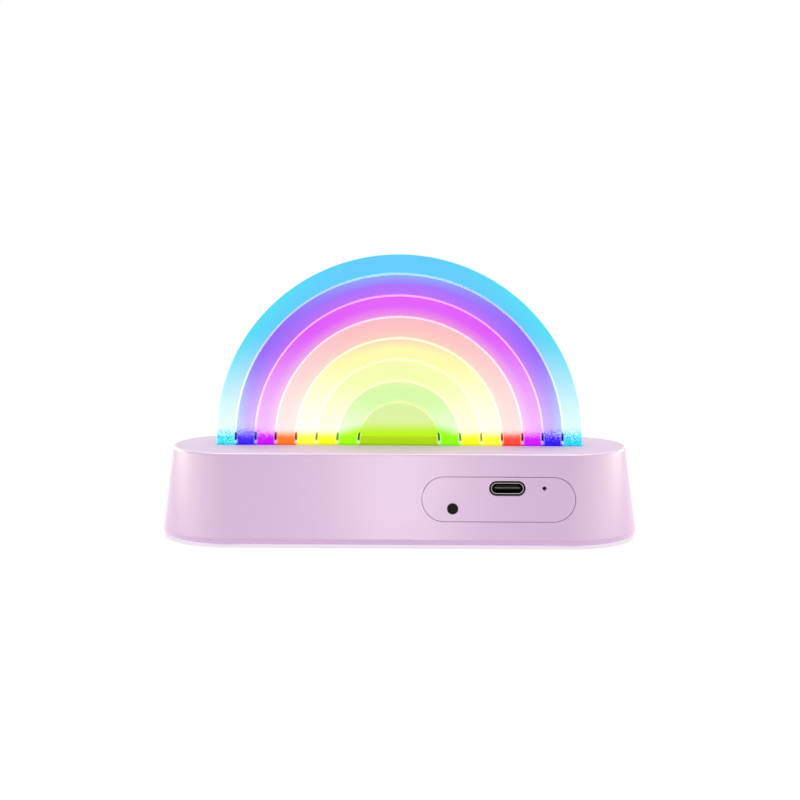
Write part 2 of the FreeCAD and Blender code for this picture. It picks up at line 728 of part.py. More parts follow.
# Main board, hung from the ceiling by three screws, and its chips.
board_blank = box("board_blank", (board_left, board_front, board_low), (board_right, board_rear, board_top))
notch_half = s.mic_radius + s.board_notch_gap
mic_notch = box("mic_notch", (mic_x - notch_half, board_front - OVERSHOOT, board_low - OVERSHOOT),
                (mic_x + notch_half, mic_rear + s.board_notch_gap, board_top + OVERSHOOT))
board_ways = screw_ways("board_way", board_spots, board_low - OVERSHOOT, board_top + OVERSHOOT,
                        s.small_screw_radius)
main_board = cut("main_board", board_blank, [mic_notch] + board_ways + leg_holes + pin_holes)
board_screws = small_screws("board_screws", board_spots, board_low)

main_chip_y = (s.led_board_depth / 2 + board_rear) / 2
main_chip = block("main_chip", header_x, main_chip_y, board_top, s.main_chip_side, s.main_chip_side,
                  s.chip_height)
charge_chip = block("charge_chip", usb_x, usb_rear + s.chip_gap + s.charge_chip_depth / 2, board_top,
                    s.charge_chip_length, s.charge_chip_depth, s.chip_height)
board_chips = group("board_chips", [main_chip, charge_chip])

# Battery on foam tape over the bottom cover, with two leads to the main board's underside.
battery_block = block("battery_block", battery_middle, ZERO, battery_low, s.battery_length, s.battery_depth,
                      s.battery_thickness)
doc.recompute()
long_edge = s.battery_depth.value() / 2
edge_round = s.battery_edge_round.value()
battery = doc.addObject("Part::Fillet", "battery")
battery.Base = battery_block
battery.Edges = [(index, edge_round, edge_round)
                 for index, edge in enumerate(battery_block.Shape.Edges, start=1)
                 if edge.BoundBox.YLength > long_edge]
battery_tape = block("battery_tape", battery_middle, ZERO, cover_top,
                     s.battery_length - s.battery_tape_margin * 2,
                     s.battery_depth - s.battery_tape_margin * 2, s.battery_tape_thickness)


def bent_lead(y):
    """One lead: out of the battery's end and along the cover, a quarter bend, then up to the board."""
    bend = s.lead_bend.value()
    end_x = (board_right - s.lead_inset).value()
    low = (battery_low + s.battery_thickness / 2).value()
    start = FreeCAD.Vector(battery_right.value(), y, low)
    bend_start = FreeCAD.Vector(end_x - bend, y, low)
    bend_end = FreeCAD.Vector(end_x, y, low + bend)
    end = FreeCAD.Vector(end_x, y, board_low.value())
    off_corner = bend * (1 - math.sqrt(0.5))
    bend_middle = FreeCAD.Vector(end_x - off_corner, y, low + off_corner)
    path = Part.Wire([Part.LineSegment(start, bend_start).toShape(),
                      Part.Arc(bend_start, bend_middle, bend_end).toShape(),
                      Part.LineSegment(bend_end, end).toShape()])
    section = Part.Wire([Part.Circle(start, X_AXIS, s.lead_radius.value()).toShape()])
    return path.makePipeShell([section], True, False)


half_spacing = s.lead_spacing.value() / 2
battery_leads = doc.addObject("Part::Feature", "battery_leads")
battery_leads.Shape = Part.makeCompound([bent_lead(half_spacing * sign) for _, sign in SIDES])
doc.recompute()

# Check every object, then write each piece
PIECES = [base_shell, bottom_cover, cover_screws, rubber_feet, rainbow_plate, plate_holder, holder_screws,
          led_board, leds, board_header, main_board, board_chips, board_screws, port_panel, panel_tape,
          usb_shell, usb_tongue, usb_contacts, button_cap, switch_plunger, switch_body, microphone,
          mic_gasket, battery, battery_tape, battery_leads]

for item in doc.Objects:
    if "Invalid" in item.State or "Error" in item.State:
        raise RuntimeError(f"{item.Name} did not build: {item.State}")
for piece in PIECES:
    if piece.Shape.isNull() or not piece.Shape.isValid():
        raise RuntimeError(f"{piece.Label} has no valid shape")

os.makedirs("parts", exist_ok=True)
for piece in PIECES:
    piece.Shape.exportStep(f"parts/{piece.Label}.step")
    print(f"{piece.Label}: {len(piece.Shape.Solids)} solids, {piece.Shape.Volume:.1f} cubic mm")
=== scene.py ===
import bmesh
import bpy
import math
from collections import namedtuple
from mathutils import Matrix, Vector


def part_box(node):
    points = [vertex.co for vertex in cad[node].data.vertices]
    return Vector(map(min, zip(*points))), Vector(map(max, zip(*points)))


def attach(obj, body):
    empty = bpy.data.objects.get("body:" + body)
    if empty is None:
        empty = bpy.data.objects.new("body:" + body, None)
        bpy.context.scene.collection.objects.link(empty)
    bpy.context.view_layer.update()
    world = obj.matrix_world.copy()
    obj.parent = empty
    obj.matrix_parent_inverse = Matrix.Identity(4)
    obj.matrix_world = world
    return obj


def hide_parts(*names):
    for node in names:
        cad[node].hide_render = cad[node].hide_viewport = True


# A rainbow night lamp: a clear arched plate, lit from below, stands in a lavender base whose flush panel
# carries the socket, a button and a microphone hole. Metres, +Z up, the panel's side towards -Y.
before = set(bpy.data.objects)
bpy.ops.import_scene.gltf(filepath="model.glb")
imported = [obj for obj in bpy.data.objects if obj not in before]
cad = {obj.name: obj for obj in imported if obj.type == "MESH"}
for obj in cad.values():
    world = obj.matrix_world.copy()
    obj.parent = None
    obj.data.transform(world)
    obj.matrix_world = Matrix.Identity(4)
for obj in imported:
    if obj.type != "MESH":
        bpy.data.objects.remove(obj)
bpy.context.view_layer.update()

# Base shell: one tub of lavender ABS, injection moulded, with drafted walls and full-round ends.
# The mould was spark eroded, so the skin is satin with a fine grain. It carries every other piece.
MM = 0.001


def linear(colour):
    """An sRGB hex colour as linear RGBA."""
    channels = [int(colour[i:i + 2], 16) / 255 for i in (1, 3, 5)]
    return [c / 12.92 if c <= 0.04045 else ((c + 0.055) / 1.055) ** 2.4 for c in channels] + [1.0]


def feed(node, inputs):
    """At each named input of a node, links a socket or another node's own output, or sets a value."""
    for key, value in inputs.items():
        if isinstance(value, bpy.types.Node):
            value = next(output for output in value.outputs if output.enabled)
        if isinstance(value, bpy.types.NodeSocket):
            node.id_data.links.new(value, node.inputs[key])
        else:
            node.inputs[key].default_value = value


def add(tree, kind, inputs=None, **settings):
    """Adds a node with its settings and links."""
    made = tree.nodes.new(kind)
    for name, value in settings.items():
        setattr(made, name, value)
    feed(made, inputs or {})
    return made


# The setting of a map that eases its start and its end.
SMOOTH = {"interpolation_type": "SMOOTHSTEP"}


def finish(name, **constants):
    """A material with one shader and its constants. Returns it, its tree, the shader and a spot's place."""
    made = bpy.data.materials.new(name)
    made.use_nodes = True
    shader = made.node_tree.nodes["Principled BSDF"]
    for socket, value in constants.items():
        shader.inputs[socket.replace("_", " ")].default_value = value
    return made, made.node_tree, shader, add(made.node_tree, "ShaderNodeTexCoord").outputs["Object"]


# The melt drifts in colour over centimetres. The pits of the mould change the gloss to each side of its mean,
# and their relief goes by their size and by how rough the skin is.
DRIFT = 22 * MM
GLOSS_SPREAD = 0.04
PIT_DEPTH = 0.12
PIT_RELIEF = 0.3
NOISE_LOW, NOISE_HIGH = 0.3, 0.7


def moulded(name, colour, deeper, grain, roughness, **constants):
    """A moulded skin: the melt's faint drift of colour over centimetres, and an eroded grain in the gloss."""
    made, tree, shader, spot = finish(name, **constants)
    drift = add(tree, "ShaderNodeTexNoise", {"Vector": spot, "Scale": 1 / DRIFT, "Detail": 2.0})
    tint = add(tree, "ShaderNodeMix", {0: drift, 6: linear(colour), 7: linear(deeper)}, data_type="RGBA")
    pits = add(tree, "ShaderNodeTexNoise", {"Vector": spot, "Scale": 1 / grain, "Detail": 3.0,
                                            "Roughness": 0.6})
    gloss = add(tree, "ShaderNodeMapRange", {0: pits, 1: NOISE_LOW, 2: NOISE_HIGH,
                                             3: roughness - GLOSS_SPREAD, 4: roughness + GLOSS_SPREAD})
    relief = add(tree, "ShaderNodeBump", {"Strength": roughness * PIT_RELIEF, "Distance": grain * PIT_DEPTH,
                                          "Height": pits})
    feed(shader, {"Base Color": tint, "Roughness": gloss, "Normal": relief})
    return made


def matt_top_with_painted_light(made, height, extra, painted_sheen, rim, painted_highlight):
    """Makes a skin rougher above a height, where its mould was eroded more coarsely, and greyer and paler
    there as a painted sheen; and paler in a rim below it, as a painted highlight along the edge."""
    tree = made.node_tree
    shader = tree.nodes["Principled BSDF"]
    gloss = shader.inputs["Roughness"].links[0].from_socket
    tint = shader.inputs["Base Color"].links[0].from_socket
    spot = add(tree, "ShaderNodeTexCoord").outputs["Object"]
    level = add(tree, "ShaderNodeSeparateXYZ", {0: spot}).outputs["Z"]
    above = add(tree, "ShaderNodeMath", {0: level, 1: height}, operation="GREATER_THAN")
    duller = add(tree, "ShaderNodeMath", {0: above, 1: extra, 2: gloss}, operation="MULTIPLY_ADD")
    highlight_share = add(tree, "ShaderNodeMapRange", {0: level, 1: height - rim, 2: height}, **SMOOTH)
    edge = add(tree, "ShaderNodeMix", {0: highlight_share, 6: tint, 7: linear(painted_highlight)}, data_type="RGBA")
    sheened_top = add(tree, "ShaderNodeMix", {0: above, 6: edge, 7: linear(painted_sheen)}, data_type="RGBA")
    feed(shader, {"Roughness": duller, "Base Color": sheened_top})


def dress(made, *names):
    """Puts a finish on CAD nodes, whose shape is already right."""
    for name in names:
        for place in cad[name].material_slots:
            place.material = made


# Satin lavender: soft pink-violet, paler where the light grazes it. A painted sheen makes the top greyer and
# paler, and a painted highlight runs along the top's rim. The real grain is 0.1 mm; it is drawn at 0.4 mm,
# which is as fine as shows.
lavender = moulded("lavender_abs_spark_eroded", "#C9A8D4", "#C6A5D2", 0.4 * MM, 0.19, IOR=1.54)
base_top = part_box("base_shell")[1].z
TOP_SKIN = 0.05 * MM
TOP_EXTRA = 0.41
PAINTED_HIGHLIGHT_RIM = 0.5 * MM
# The top's greyer, paler colour is a painted sheen, and the pale rim below it is a painted highlight.
matt_top_with_painted_light(lavender, base_top - TOP_SKIN, TOP_EXTRA, "#D6C2D8", PAINTED_HIGHLIGHT_RIM, "#EAD6EB")
dress(lavender, "base_shell")

# Bottom cover: a flat moulding of the same ABS that drops into the open underside of the base.
# It has a thick pad at each foot, and the four screws that hold it go up into the base's bosses.
# Coarse lavender: the same colour, but duller.
dress(moulded("lavender_abs_coarse_eroded", "#D9BBDA", "#D5B6D7", 0.7 * MM, 0.42, IOR=1.54), "bottom_cover")
# A plated metal's specks change its gloss to each side of its mean.
SPECK_SPREAD = 0.06


def plated(name, colour, worn, speck, roughness):
    """A plated or rolled metal: fine specks that change its tone and its gloss together."""
    made, tree, shader, spot = finish(name, Metallic=1.0)
    specks = add(tree, "ShaderNodeTexNoise", {"Vector": spot, "Scale": 1 / speck, "Detail": 4.0})
    tone = add(tree, "ShaderNodeMix", {0: specks, 6: linear(colour), 7: linear(worn)}, data_type="RGBA")
    gloss = add(tree, "ShaderNodeMapRange", {0: specks, 3: roughness - SPECK_SPREAD,
                                             4: roughness + SPECK_SPREAD})
    feed(shader, {"Base Color": tone, "Roughness": gloss})
    return made


# Zinc plate on steel: blue-grey, with a slightly cloudy shine.
zinc = plated("zinc_plated_steel", "#C3C8CE", "#A9AEB4", 0.5 * MM, 0.32)
dress(zinc, "cover_screws", "holder_screws", "board_screws")

# Rubber feet: four moulded discs of grey rubber, stuck into the cover's recesses over the screw heads.
# Each has a rolled edge and a shallow dish underneath, which is what grips the table.
foot_low, foot_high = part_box("rubber_feet")
FOOT_RADIUS = 4.5 * MM
FOOT_EDGE = 0.5 * MM
FOOT_DISH = 0.2 * MM
FOOT_DISH_RADIUS = 3.0 * MM
FOOT_SEGMENTS = 48
WELD = 0.0005 * MM


def turned(profile, segments):
    """A turned mesh about Z from (radius, height) points, the first and last of them on the axis."""
    work = bmesh.new()
    rings = []
    for radius, height in profile:
        count = segments if radius > 0 else 1
        turns = [2 * math.pi * i / count for i in range(count)]
        rings.append([work.verts.new((radius * math.cos(a), radius * math.sin(a), height)) for a in turns])
    for lower, upper in zip(rings, rings[1:]):
        for i in range(segments):
            corners = [lower[i % len(lower)], lower[(i + 1) % len(lower)],
                       upper[(i + 1) % len(upper)], upper[i % len(upper)]]
            work.faces.new(list(dict.fromkeys(corners)))
    bmesh.ops.recalc_face_normals(work, faces=work.faces)
    mesh = bpy.data.meshes.new("turned")
    work.to_mesh(mesh)
    work.free()
    return mesh


def rolled_edge(radius, height, edge, turn_from, steps=5):
    """The points of a quarter-round edge whose outer corner would be at radius and height."""
    up = 1 if turn_from == "side" else -1
    points = []
    for i in range(steps + 1):
        angle = math.pi / 2 * i / steps
        across = math.cos(angle) if up > 0 else math.sin(angle)
        along = math.sin(angle) if up > 0 else math.cos(angle)
        points.append((radius - edge + edge * across, height + up * edge * (along - 1)))
    return points


def shown(name, data):
    """A new object in the scene."""
    made = bpy.data.objects.new(name, data)
    bpy.context.scene.collection.objects.link(made)
    return made


def sized_tree(name, sizes):
    """A geometry tree with one named input for each size. Returns the tree and its input node."""
    tree = bpy.data.node_groups.new(name, "GeometryNodeTree")
    tree.interface.new_socket("Start", in_out="INPUT", socket_type="NodeSocketGeometry")
    for label, value in sizes.items():
        kind = "NodeSocketInt" if isinstance(value, int) else "NodeSocketFloat"
        tree.interface.new_socket(label, in_out="INPUT", socket_type=kind)
    tree.interface.new_socket("Result", in_out="OUTPUT", socket_type="NodeSocketGeometry")
    return tree, add(tree, "NodeGroupInput")


def grown(name, start, tree, sizes, sharp=30):
    """Runs a tree on a start mesh, and returns an object with the result as a plain closed mesh."""
    made = shown(name, start)
    maker = made.modifiers.new("maker", "NODES")
    maker.node_group = tree
    for item in tree.interface.items_tree:
        if item.name in sizes:
            maker[item.identifier] = sizes[item.name]
    mesh = bpy.data.meshes.new_from_object(made.evaluated_get(bpy.context.evaluated_depsgraph_get()))
    made.modifiers.remove(maker)
    work = bmesh.new()
    work.from_mesh(mesh)
    bmesh.ops.remove_doubles(work, verts=work.verts, dist=WELD)
    bmesh.ops.recalc_face_normals(work, faces=work.faces)
    work.to_mesh(mesh)
    work.free()
    mesh.shade_smooth()
    mesh.set_sharp_from_angle(angle=math.radians(sharp))
    mesh.name = name
    made.data = mesh
    return made


foot_tall = foot_high.z - foot_low.z
foot_profile = [(0, FOOT_DISH), (FOOT_DISH_RADIUS - FOOT_DISH, FOOT_DISH), (FOOT_DISH_RADIUS, 0)]
foot_profile += rolled_edge(FOOT_RADIUS, 0, FOOT_EDGE, "face")
foot_profile += [(FOOT_RADIUS, foot_tall), (0, foot_tall)]
foot_sizes = {"Spread along": (foot_high.x - FOOT_RADIUS) * 2,
              "Spread across": (foot_high.y - FOOT_RADIUS) * 2}
tree, feet_in = sized_tree("feet_at_four_corners", foot_sizes)
corners = add(tree, "GeometryNodeMeshGrid", {"Size X": feet_in.outputs["Spread along"],
                                             "Size Y": feet_in.outputs["Spread across"], "Vertices X": 2,
                                             "Vertices Y": 2})
standing = add(tree, "GeometryNodeInstanceOnPoints", {"Points": corners,
                                                      "Instance": feet_in.outputs["Start"]})
# Grey rubber: matt, with a dusty bloom that the sheen gives.
rubber = moulded("grey_rubber_moulded", "#5E5A60", "#545057", 0.5 * MM, 0.75, Sheen_Weight=0.15)
whole = add(tree, "GeometryNodeRealizeInstances", {0: standing})
covered = add(tree, "GeometryNodeSetMaterial", {"Geometry": whole, "Material": rubber})
add(tree, "NodeGroupOutput", {"Result": covered})
feet = grown("feet", turned(foot_profile, FOOT_SEGMENTS), tree, foot_sizes)
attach(feet, "lamp")
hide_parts("rubber_feet")

# Rainbow plate: one 4 mm sheet of clear acrylic, laser cut to an arch with seven arched slits right through.
# Ears under the base's ceiling hold it down. The light goes in at its foot, and the slits part its colours.
plate_low, plate_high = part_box("rainbow_plate")
ARCH_CENTRE = base_top + 2.2 * MM
PLATE_RADIUS = plate_high.z - ARCH_CENTRE
CEILING = base_top - 2.0 * MM
SLITS = 7
OUTER_BAND = 5.2 * MM
FIRST_SLIT = 11.0 * MM
NARROWING = 0.075 * MM
SLIT_WIDTH = 0.45 * MM
SLIT_FOOT = base_top + 0.5 * MM + SLIT_WIDTH / 2
SLIT_LEG = 0.2 * MM
LEG_GROWTH = 0.034 * MM
CUT_CHAMFER = 0.03 * MM
OUTLINE_STEPS = 180


def narrowed(k):
    """How far the narrowing of the bands has drawn slit k in."""
    return NARROWING * k * (k - 1) / 2


SLIT_PITCH = (PLATE_RADIUS - OUTER_BAND - FIRST_SLIT + narrowed(SLITS - 1)) / (SLITS - 1)


def slit_radius(k):
    """The radius of the middle of slit k, counted from the innermost."""
    return FIRST_SLIT + SLIT_PITCH * k - narrowed(k)


def plate_outline(steps):
    """The arch, its legs and the wider foot, as a closed loop of edges with the plate's height along Y."""
    turns = [math.pi * i / steps for i in range(steps + 1)]
    points = [(PLATE_RADIUS * math.cos(a), ARCH_CENTRE + PLATE_RADIUS * math.sin(a)) for a in turns]
    ear = plate_high.x
    points += [(-PLATE_RADIUS, CEILING), (-ear, CEILING), (-ear, plate_low.z)]
    points += [(ear, plate_low.z), (ear, CEILING), (PLATE_RADIUS, CEILING)]
    mesh = bpy.data.meshes.new("plate_outline")
    edges = [(i, (i + 1) % len(points)) for i in range(len(points))]
    mesh.from_pydata([(x, z, 0) for x, z in points], edges, [])
    return mesh


# The eight bands from the middle outwards: the colours of the lights under the left and the right leg, the
# glow round the arch, how much that glow pales in the legs and up to which angle in degrees, how much of the
# next band leaks into its outer half at the crown, how much of its own light clings to the outer wall on the
# way up, how much of the band inside it spills over its inner edge, and how much of the next band seeps into
# its outer half low down.
Band = namedtuple("Band", "name left right glow paling reach leak cling spill seep", defaults=[0.0] * 4)
BANDS = [Band("leaf", "#B0DB00", "#B0DB00", "#D7EBA2", paling=0.0, reach=45, leak=0.2),
         Band("lime", "#A9FC00", "#96FD02", "#D3F4A9", paling=0.5, reach=66, leak=0.5),
         Band("lemon", "#F4FC22", "#F2FC1C", "#F2FBB5", paling=0.62, reach=68, leak=0.6),
         Band("yellow", "#FEFC4C", "#FDFD40", "#FEFAB3", paling=0.78, reach=68, leak=0.7),
         Band("peach", "#FC8428", "#F8543C", "#FDC6C6", paling=0.5, reach=82, leak=0.1, spill=0.22),
         Band("magenta", "#CC06FA", "#D316FA", "#E566FB", paling=0.44, reach=64, cling=0.24, spill=0.46),
         Band("violet", "#3F21F4", "#3716F8", "#AE79FD", paling=0.4, reach=42, leak=0.7, cling=0.25,
              spill=0.38, seep=0.7),
         Band("sky", "#50EAF5", "#32DCF4", "#67CFFC", paling=0.74, reach=44, cling=0.7)]
band_edges = [0.0] + [slit_radius(k) for k in range(SLITS)] + [PLATE_RADIUS]
BLUR = SLIT_WIDTH / 10
WHITE = (1.0, 1.0, 1.0, 1.0)


def banded(tree, share, colours):
    """A ramp over the share of the plate's radius, with each band's colours spaced evenly outwards."""
    ramp = add(tree, "ShaderNodeValToRGB", {0: share})
    stops = ramp.color_ramp.elements
    stops.remove(stops[1])
    stops[0].color = colours[0][0]
    for inner, outer, own in zip(band_edges, band_edges[1:], colours):
        start = inner + BLUR
        step = (outer - BLUR - start) / (len(own) - 1)
        for i, colour in enumerate(own):
            stops.new((start + step * i) / PLATE_RADIUS).color = colour
    return ramp


def mixed(first, second, share):
    """Two colours mixed, with a share of the second."""
    return [a * (1 - share) + b * share for a, b in zip(first, second)]


# The light's own colour fills the foot up to a height and then fades, higher and longer in the middle disc
# than in the legs. The outer wall of a leg pales over a shorter way. The plate darkens at the line where it
# meets the base, a painted contact shade. Beside the foot of each slit, a dark tick of painted shade stands
# for the shaded slit, with a painted highlight round it as a bright edge.
LOW_END, CROWN_START, CROWN_END = math.radians(35), math.radians(40), math.radians(85)
DISC_GLOW, LEG_GLOW = 3.2 * MM, 1.8 * MM
DISC_FADE, LEG_FADE = 4.0 * MM, 2.6 * MM
SPECK = 0.3 * MM
INNER_SPECKS, OUTER_SPECKS = 1.5 * MM, 6.0 * MM
SPECK_CONTRAST = 1.6
WALL_REACHES = 1.0, 0.8
RIGHT_KEEP = 0.08
CONTACT_LINE = 0.45 * MM
CONTACT_SHADE = 0.85
TICK_LOW, TICK_HIGH = base_top + 1.1 * MM, base_top + 3.2 * MM
TICK_HALF, TICK_EDGE = 0.3 * MM, 0.52 * MM
EDGE_LOW = base_top + 0.3 * MM
TICK_EDGE_HIGHLIGHT = 0.4
TICK_SHADE = 0.6
LIME_OUTSIDE, LAST_SLIT = slit_radius(1), slit_radius(SLITS - 1)
MAGENTA_INSIDE, MAGENTA_OUTSIDE = slit_radius(4), slit_radius(5)
HALF_BAND = SLIT_PITCH * 0.45


def from_slit(tree, share):
    """How far a spot is from the middle of the nearest slit, up to about half a band."""
    ramp = add(tree, "ShaderNodeValToRGB", {0: share})
    stops = ramp.color_ramp.elements
    stops.remove(stops[1])
    stops[0].color = WHITE
    for slit in band_edges[1:-1]:
        for offset in (-HALF_BAND, 0.0, HALF_BAND):
            level = abs(offset) / HALF_BAND
            stops.new((slit + offset) / PLATE_RADIUS).color = (level, level, level, 1.0)
    return add(tree, "ShaderNodeMath", {0: ramp, 1: HALF_BAND}, operation="MULTIPLY")


def at_slits(tree, share, colours):
    """A ramp over the share of the plate's radius that keeps one colour round each slit."""
    ramp = add(tree, "ShaderNodeValToRGB", {0: share})
    ramp.color_ramp.interpolation = "CONSTANT"
    stops = ramp.color_ramp.elements
    stops.remove(stops[1])
    stops[0].color = colours[0]
    for inner, outer, colour in zip(band_edges[1:], band_edges[2:], colours[1:]):
        stops.new((inner + outer) / 2 / PLATE_RADIUS).color = colour
    return ramp


def band_light(tree, spot):
    """The colour of the lit plate over white, how far a spot is in its foot's glow, and where the painted
    shade of the slits' feet lies.
    """
    axes = add(tree, "ShaderNodeSeparateXYZ", {0: spot}).outputs
    centre = SLIT_FOOT + SLIT_LEG
    for _ in range(2):
        # The slits' centres climb with their radius, so the radius is found twice.
        rise = add(tree, "ShaderNodeMath", {0: axes["Z"], 1: centre}, operation="SUBTRACT")
        lift = add(tree, "ShaderNodeMath", {0: rise, 1: 0.0}, operation="MAXIMUM")
        arm = add(tree, "ShaderNodeCombineXYZ", {"X": axes["X"], "Y": lift})
        reach = add(tree, "ShaderNodeVectorMath", {0: arm}, operation="LENGTH")
        climb = add(tree, "ShaderNodeMapRange", {0: reach, 1: FIRST_SLIT, 2: LAST_SLIT})
        squared = add(tree, "ShaderNodeMath", {0: climb, 1: 2.0}, operation="POWER")
        centre = add(tree, "ShaderNodeMath", {0: squared, 1: LEG_GROWTH * (SLITS - 1) ** 2,
                                              2: SLIT_FOOT + SLIT_LEG}, operation="MULTIPLY_ADD")
    share = add(tree, "ShaderNodeMath", {0: reach, 1: PLATE_RADIUS}, operation="DIVIDE")
    side = add(tree, "ShaderNodeMath", {0: axes["X"]}, operation="ABSOLUTE")
    turn = add(tree, "ShaderNodeMath", {0: lift, 1: side}, operation="ARCTAN2")
    # Round the arch: each band's own glow, the spill over its inner edge, the light that clings to its outer
    # wall, the leak at the crown and the seep low down.
    glows = [linear(band.glow) for band in BANDS]
    walls = [mixed(glow, linear(band.left), band.cling) for glow, band in zip(glows, BANDS)]
    middles = [mixed(glow, wall, 0.5) for glow, wall in zip(glows, walls)]
    nexts = glows[1:] + glows[-1:]
    leaks = [mixed(glow, following, band.leak) for glow, following, band in zip(glows, nexts, BANDS)]
    seeps = [mixed(wall, following, band.seep) for wall, following, band in zip(walls, nexts, BANDS)]
    befores = glows[:1] + glows
    spills = [mixed(glow, before, band.spill) for glow, before, band in zip(glows, befores, BANDS)]
    low = banded(tree, share, list(zip(spills, middles, seeps)))
    arch = banded(tree, share, list(zip(spills, middles, walls)))
    crown = banded(tree, share, list(zip(spills, glows, leaks)))
    past_low = add(tree, "ShaderNodeMapRange", {0: turn, 1: 0.0, 2: LOW_END}, **SMOOTH)
    at_crown = add(tree, "ShaderNodeMapRange", {0: turn, 1: CROWN_START, 2: CROWN_END}, **SMOOTH)
    up_arch = add(tree, "ShaderNodeMix", {0: past_low, 6: low, 7: arch}, data_type="RGBA")
    round_arch = add(tree, "ShaderNodeMix", {0: at_crown, 6: up_arch, 7: crown}, data_type="RGBA")
    # In the legs: the glow pales towards the foot, by each band's own amount and up to its own angle, which
    # goes through the ramp as a share of a quarter turn.
    legs = [[[band.paling, band.reach / 90 * wall, 0.0, 1.0] for wall in WALL_REACHES] for band in BANDS]
    paling = add(tree, "ShaderNodeSeparateColor", {0: banded(tree, share, legs)}).outputs
    leg_top = add(tree, "ShaderNodeMath", {0: paling["Green"], 1: math.pi / 2}, operation="MULTIPLY")
    past_leg = add(tree, "ShaderNodeMapRange", {0: turn, 1: 0.0, 2: leg_top}, **SMOOTH)
    in_leg = add(tree, "ShaderNodeMath", {0: 1.0, 1: past_leg}, operation="SUBTRACT")
    pale = add(tree, "ShaderNodeMath", {0: paling["Red"], 1: in_leg}, operation="MULTIPLY")
    paled = add(tree, "ShaderNodeMix", {0: pale, 6: round_arch, 7: WHITE}, data_type="RGBA")
    # The lights under the right legs are a little stronger, so those legs keep more of their colour.
    right_foot = banded(tree, share, [[linear(band.right)] * 2 for band in BANDS])
    on_right = add(tree, "ShaderNodeMath", {0: axes["X"], 1: 0.0}, operation="GREATER_THAN")
    right_leg = add(tree, "ShaderNodeMath", {0: on_right, 1: in_leg}, operation="MULTIPLY")
    keep = add(tree, "ShaderNodeMath", {0: right_leg, 1: RIGHT_KEEP}, operation="MULTIPLY")
    body = add(tree, "ShaderNodeMix", {0: keep, 6: paled, 7: right_foot}, data_type="RGBA")
    # At the foot: the light's own colour, whose upper edge breaks up into specks, coarser further out.
    specks = add(tree, "ShaderNodeTexNoise", {"Vector": spot, "Scale": 1 / SPECK, "Detail": 0.0})
    even = add(tree, "ShaderNodeMath", {0: specks, 1: 0.5}, operation="SUBTRACT")
    coarse = add(tree, "ShaderNodeMapRange", {0: reach, 1: MAGENTA_INSIDE, 2: MAGENTA_OUTSIDE,
                                              3: INNER_SPECKS, 4: OUTER_SPECKS})
    ragged = add(tree, "ShaderNodeMath", {0: even, 1: coarse, 2: axes["Z"]}, operation="MULTIPLY_ADD")
    tall = add(tree, "ShaderNodeMapRange", {0: reach, 1: FIRST_SLIT, 2: LIME_OUTSIDE,
                                            3: base_top + DISC_GLOW, 4: base_top + LEG_GLOW})
    above = add(tree, "ShaderNodeMath", {0: ragged, 1: tall}, operation="SUBTRACT")
    fade = add(tree, "ShaderNodeMapRange", {0: reach, 1: FIRST_SLIT, 2: LIME_OUTSIDE, 3: DISC_FADE,
                                            4: LEG_FADE})
    past_foot = add(tree, "ShaderNodeMapRange", {0: above, 1: 0.0, 2: fade}, **SMOOTH)
    at_foot = add(tree, "ShaderNodeMath", {0: 1.0, 1: past_foot}, operation="SUBTRACT")
    left_foot = banded(tree, share, [[linear(band.left)] * 2 for band in BANDS])
    foot = add(tree, "ShaderNodeMix", {0: on_right, 6: left_foot, 7: right_foot}, data_type="RGBA")
    # Painted contact shade: the foot darkens where the plate meets the base.
    contact = add(tree, "ShaderNodeMapRange", {0: axes["Z"], 1: base_top, 2: base_top + CONTACT_LINE,
                                               3: CONTACT_SHADE, 4: 1.0})
    grainy = add(tree, "ShaderNodeMapRange", {0: reach, 1: MAGENTA_INSIDE, 2: LAST_SLIT, 4: SPECK_CONTRAST})
    mottle = add(tree, "ShaderNodeMath", {0: even, 1: grainy, 2: contact}, operation="MULTIPLY_ADD")
    shaded = add(tree, "ShaderNodeVectorMath", {0: foot, "Scale": mottle}, operation="SCALE")
    light = add(tree, "ShaderNodeMix", {0: at_foot, 6: body, 7: shaded}, data_type="RGBA")
    # At each slit's foot: the tick of painted shade, where the colours of both bands cross, and the painted
    # highlight round it.
    off_slit = from_slit(tree, share)
    over = add(tree, "ShaderNodeMath", {0: axes["Z"], 1: TICK_LOW}, operation="GREATER_THAN")
    under = add(tree, "ShaderNodeMath", {0: axes["Z"], 1: TICK_HIGH}, operation="LESS_THAN")
    level = add(tree, "ShaderNodeMath", {0: over, 1: under}, operation="MULTIPLY")
    close = add(tree, "ShaderNodeMath", {0: off_slit, 1: TICK_HALF}, operation="LESS_THAN")
    near = add(tree, "ShaderNodeMath", {0: off_slit, 1: TICK_EDGE}, operation="LESS_THAN")
    edge_over = add(tree, "ShaderNodeMath", {0: axes["Z"], 1: EDGE_LOW}, operation="GREATER_THAN")
    edge_level = add(tree, "ShaderNodeMath", {0: edge_over, 1: under}, operation="MULTIPLY")
    edged = add(tree, "ShaderNodeMath", {0: near, 1: edge_level}, operation="MULTIPLY")
    tick_highlight = add(tree, "ShaderNodeMath", {0: edged, 1: TICK_EDGE_HIGHLIGHT}, operation="MULTIPLY")
    slit_shade = add(tree, "ShaderNodeMath", {0: close, 1: level}, operation="MULTIPLY")
    feet = [linear(band.left) for band in BANDS]
    crossed = [[a * b * TICK_SHADE for a, b in zip(*pair)] for pair in zip(feet, feet[1:])]
    slit_shade_colours = at_slits(tree, share, crossed)
    edge = add(tree, "ShaderNodeMix", {0: tick_highlight, 6: light, 7: WHITE}, data_type="RGBA")
    ticked = add(tree, "ShaderNodeMix", {0: slit_shade, 6: edge, 7: slit_shade_colours}, data_type="RGBA")
    return ticked, at_foot, slit_shade


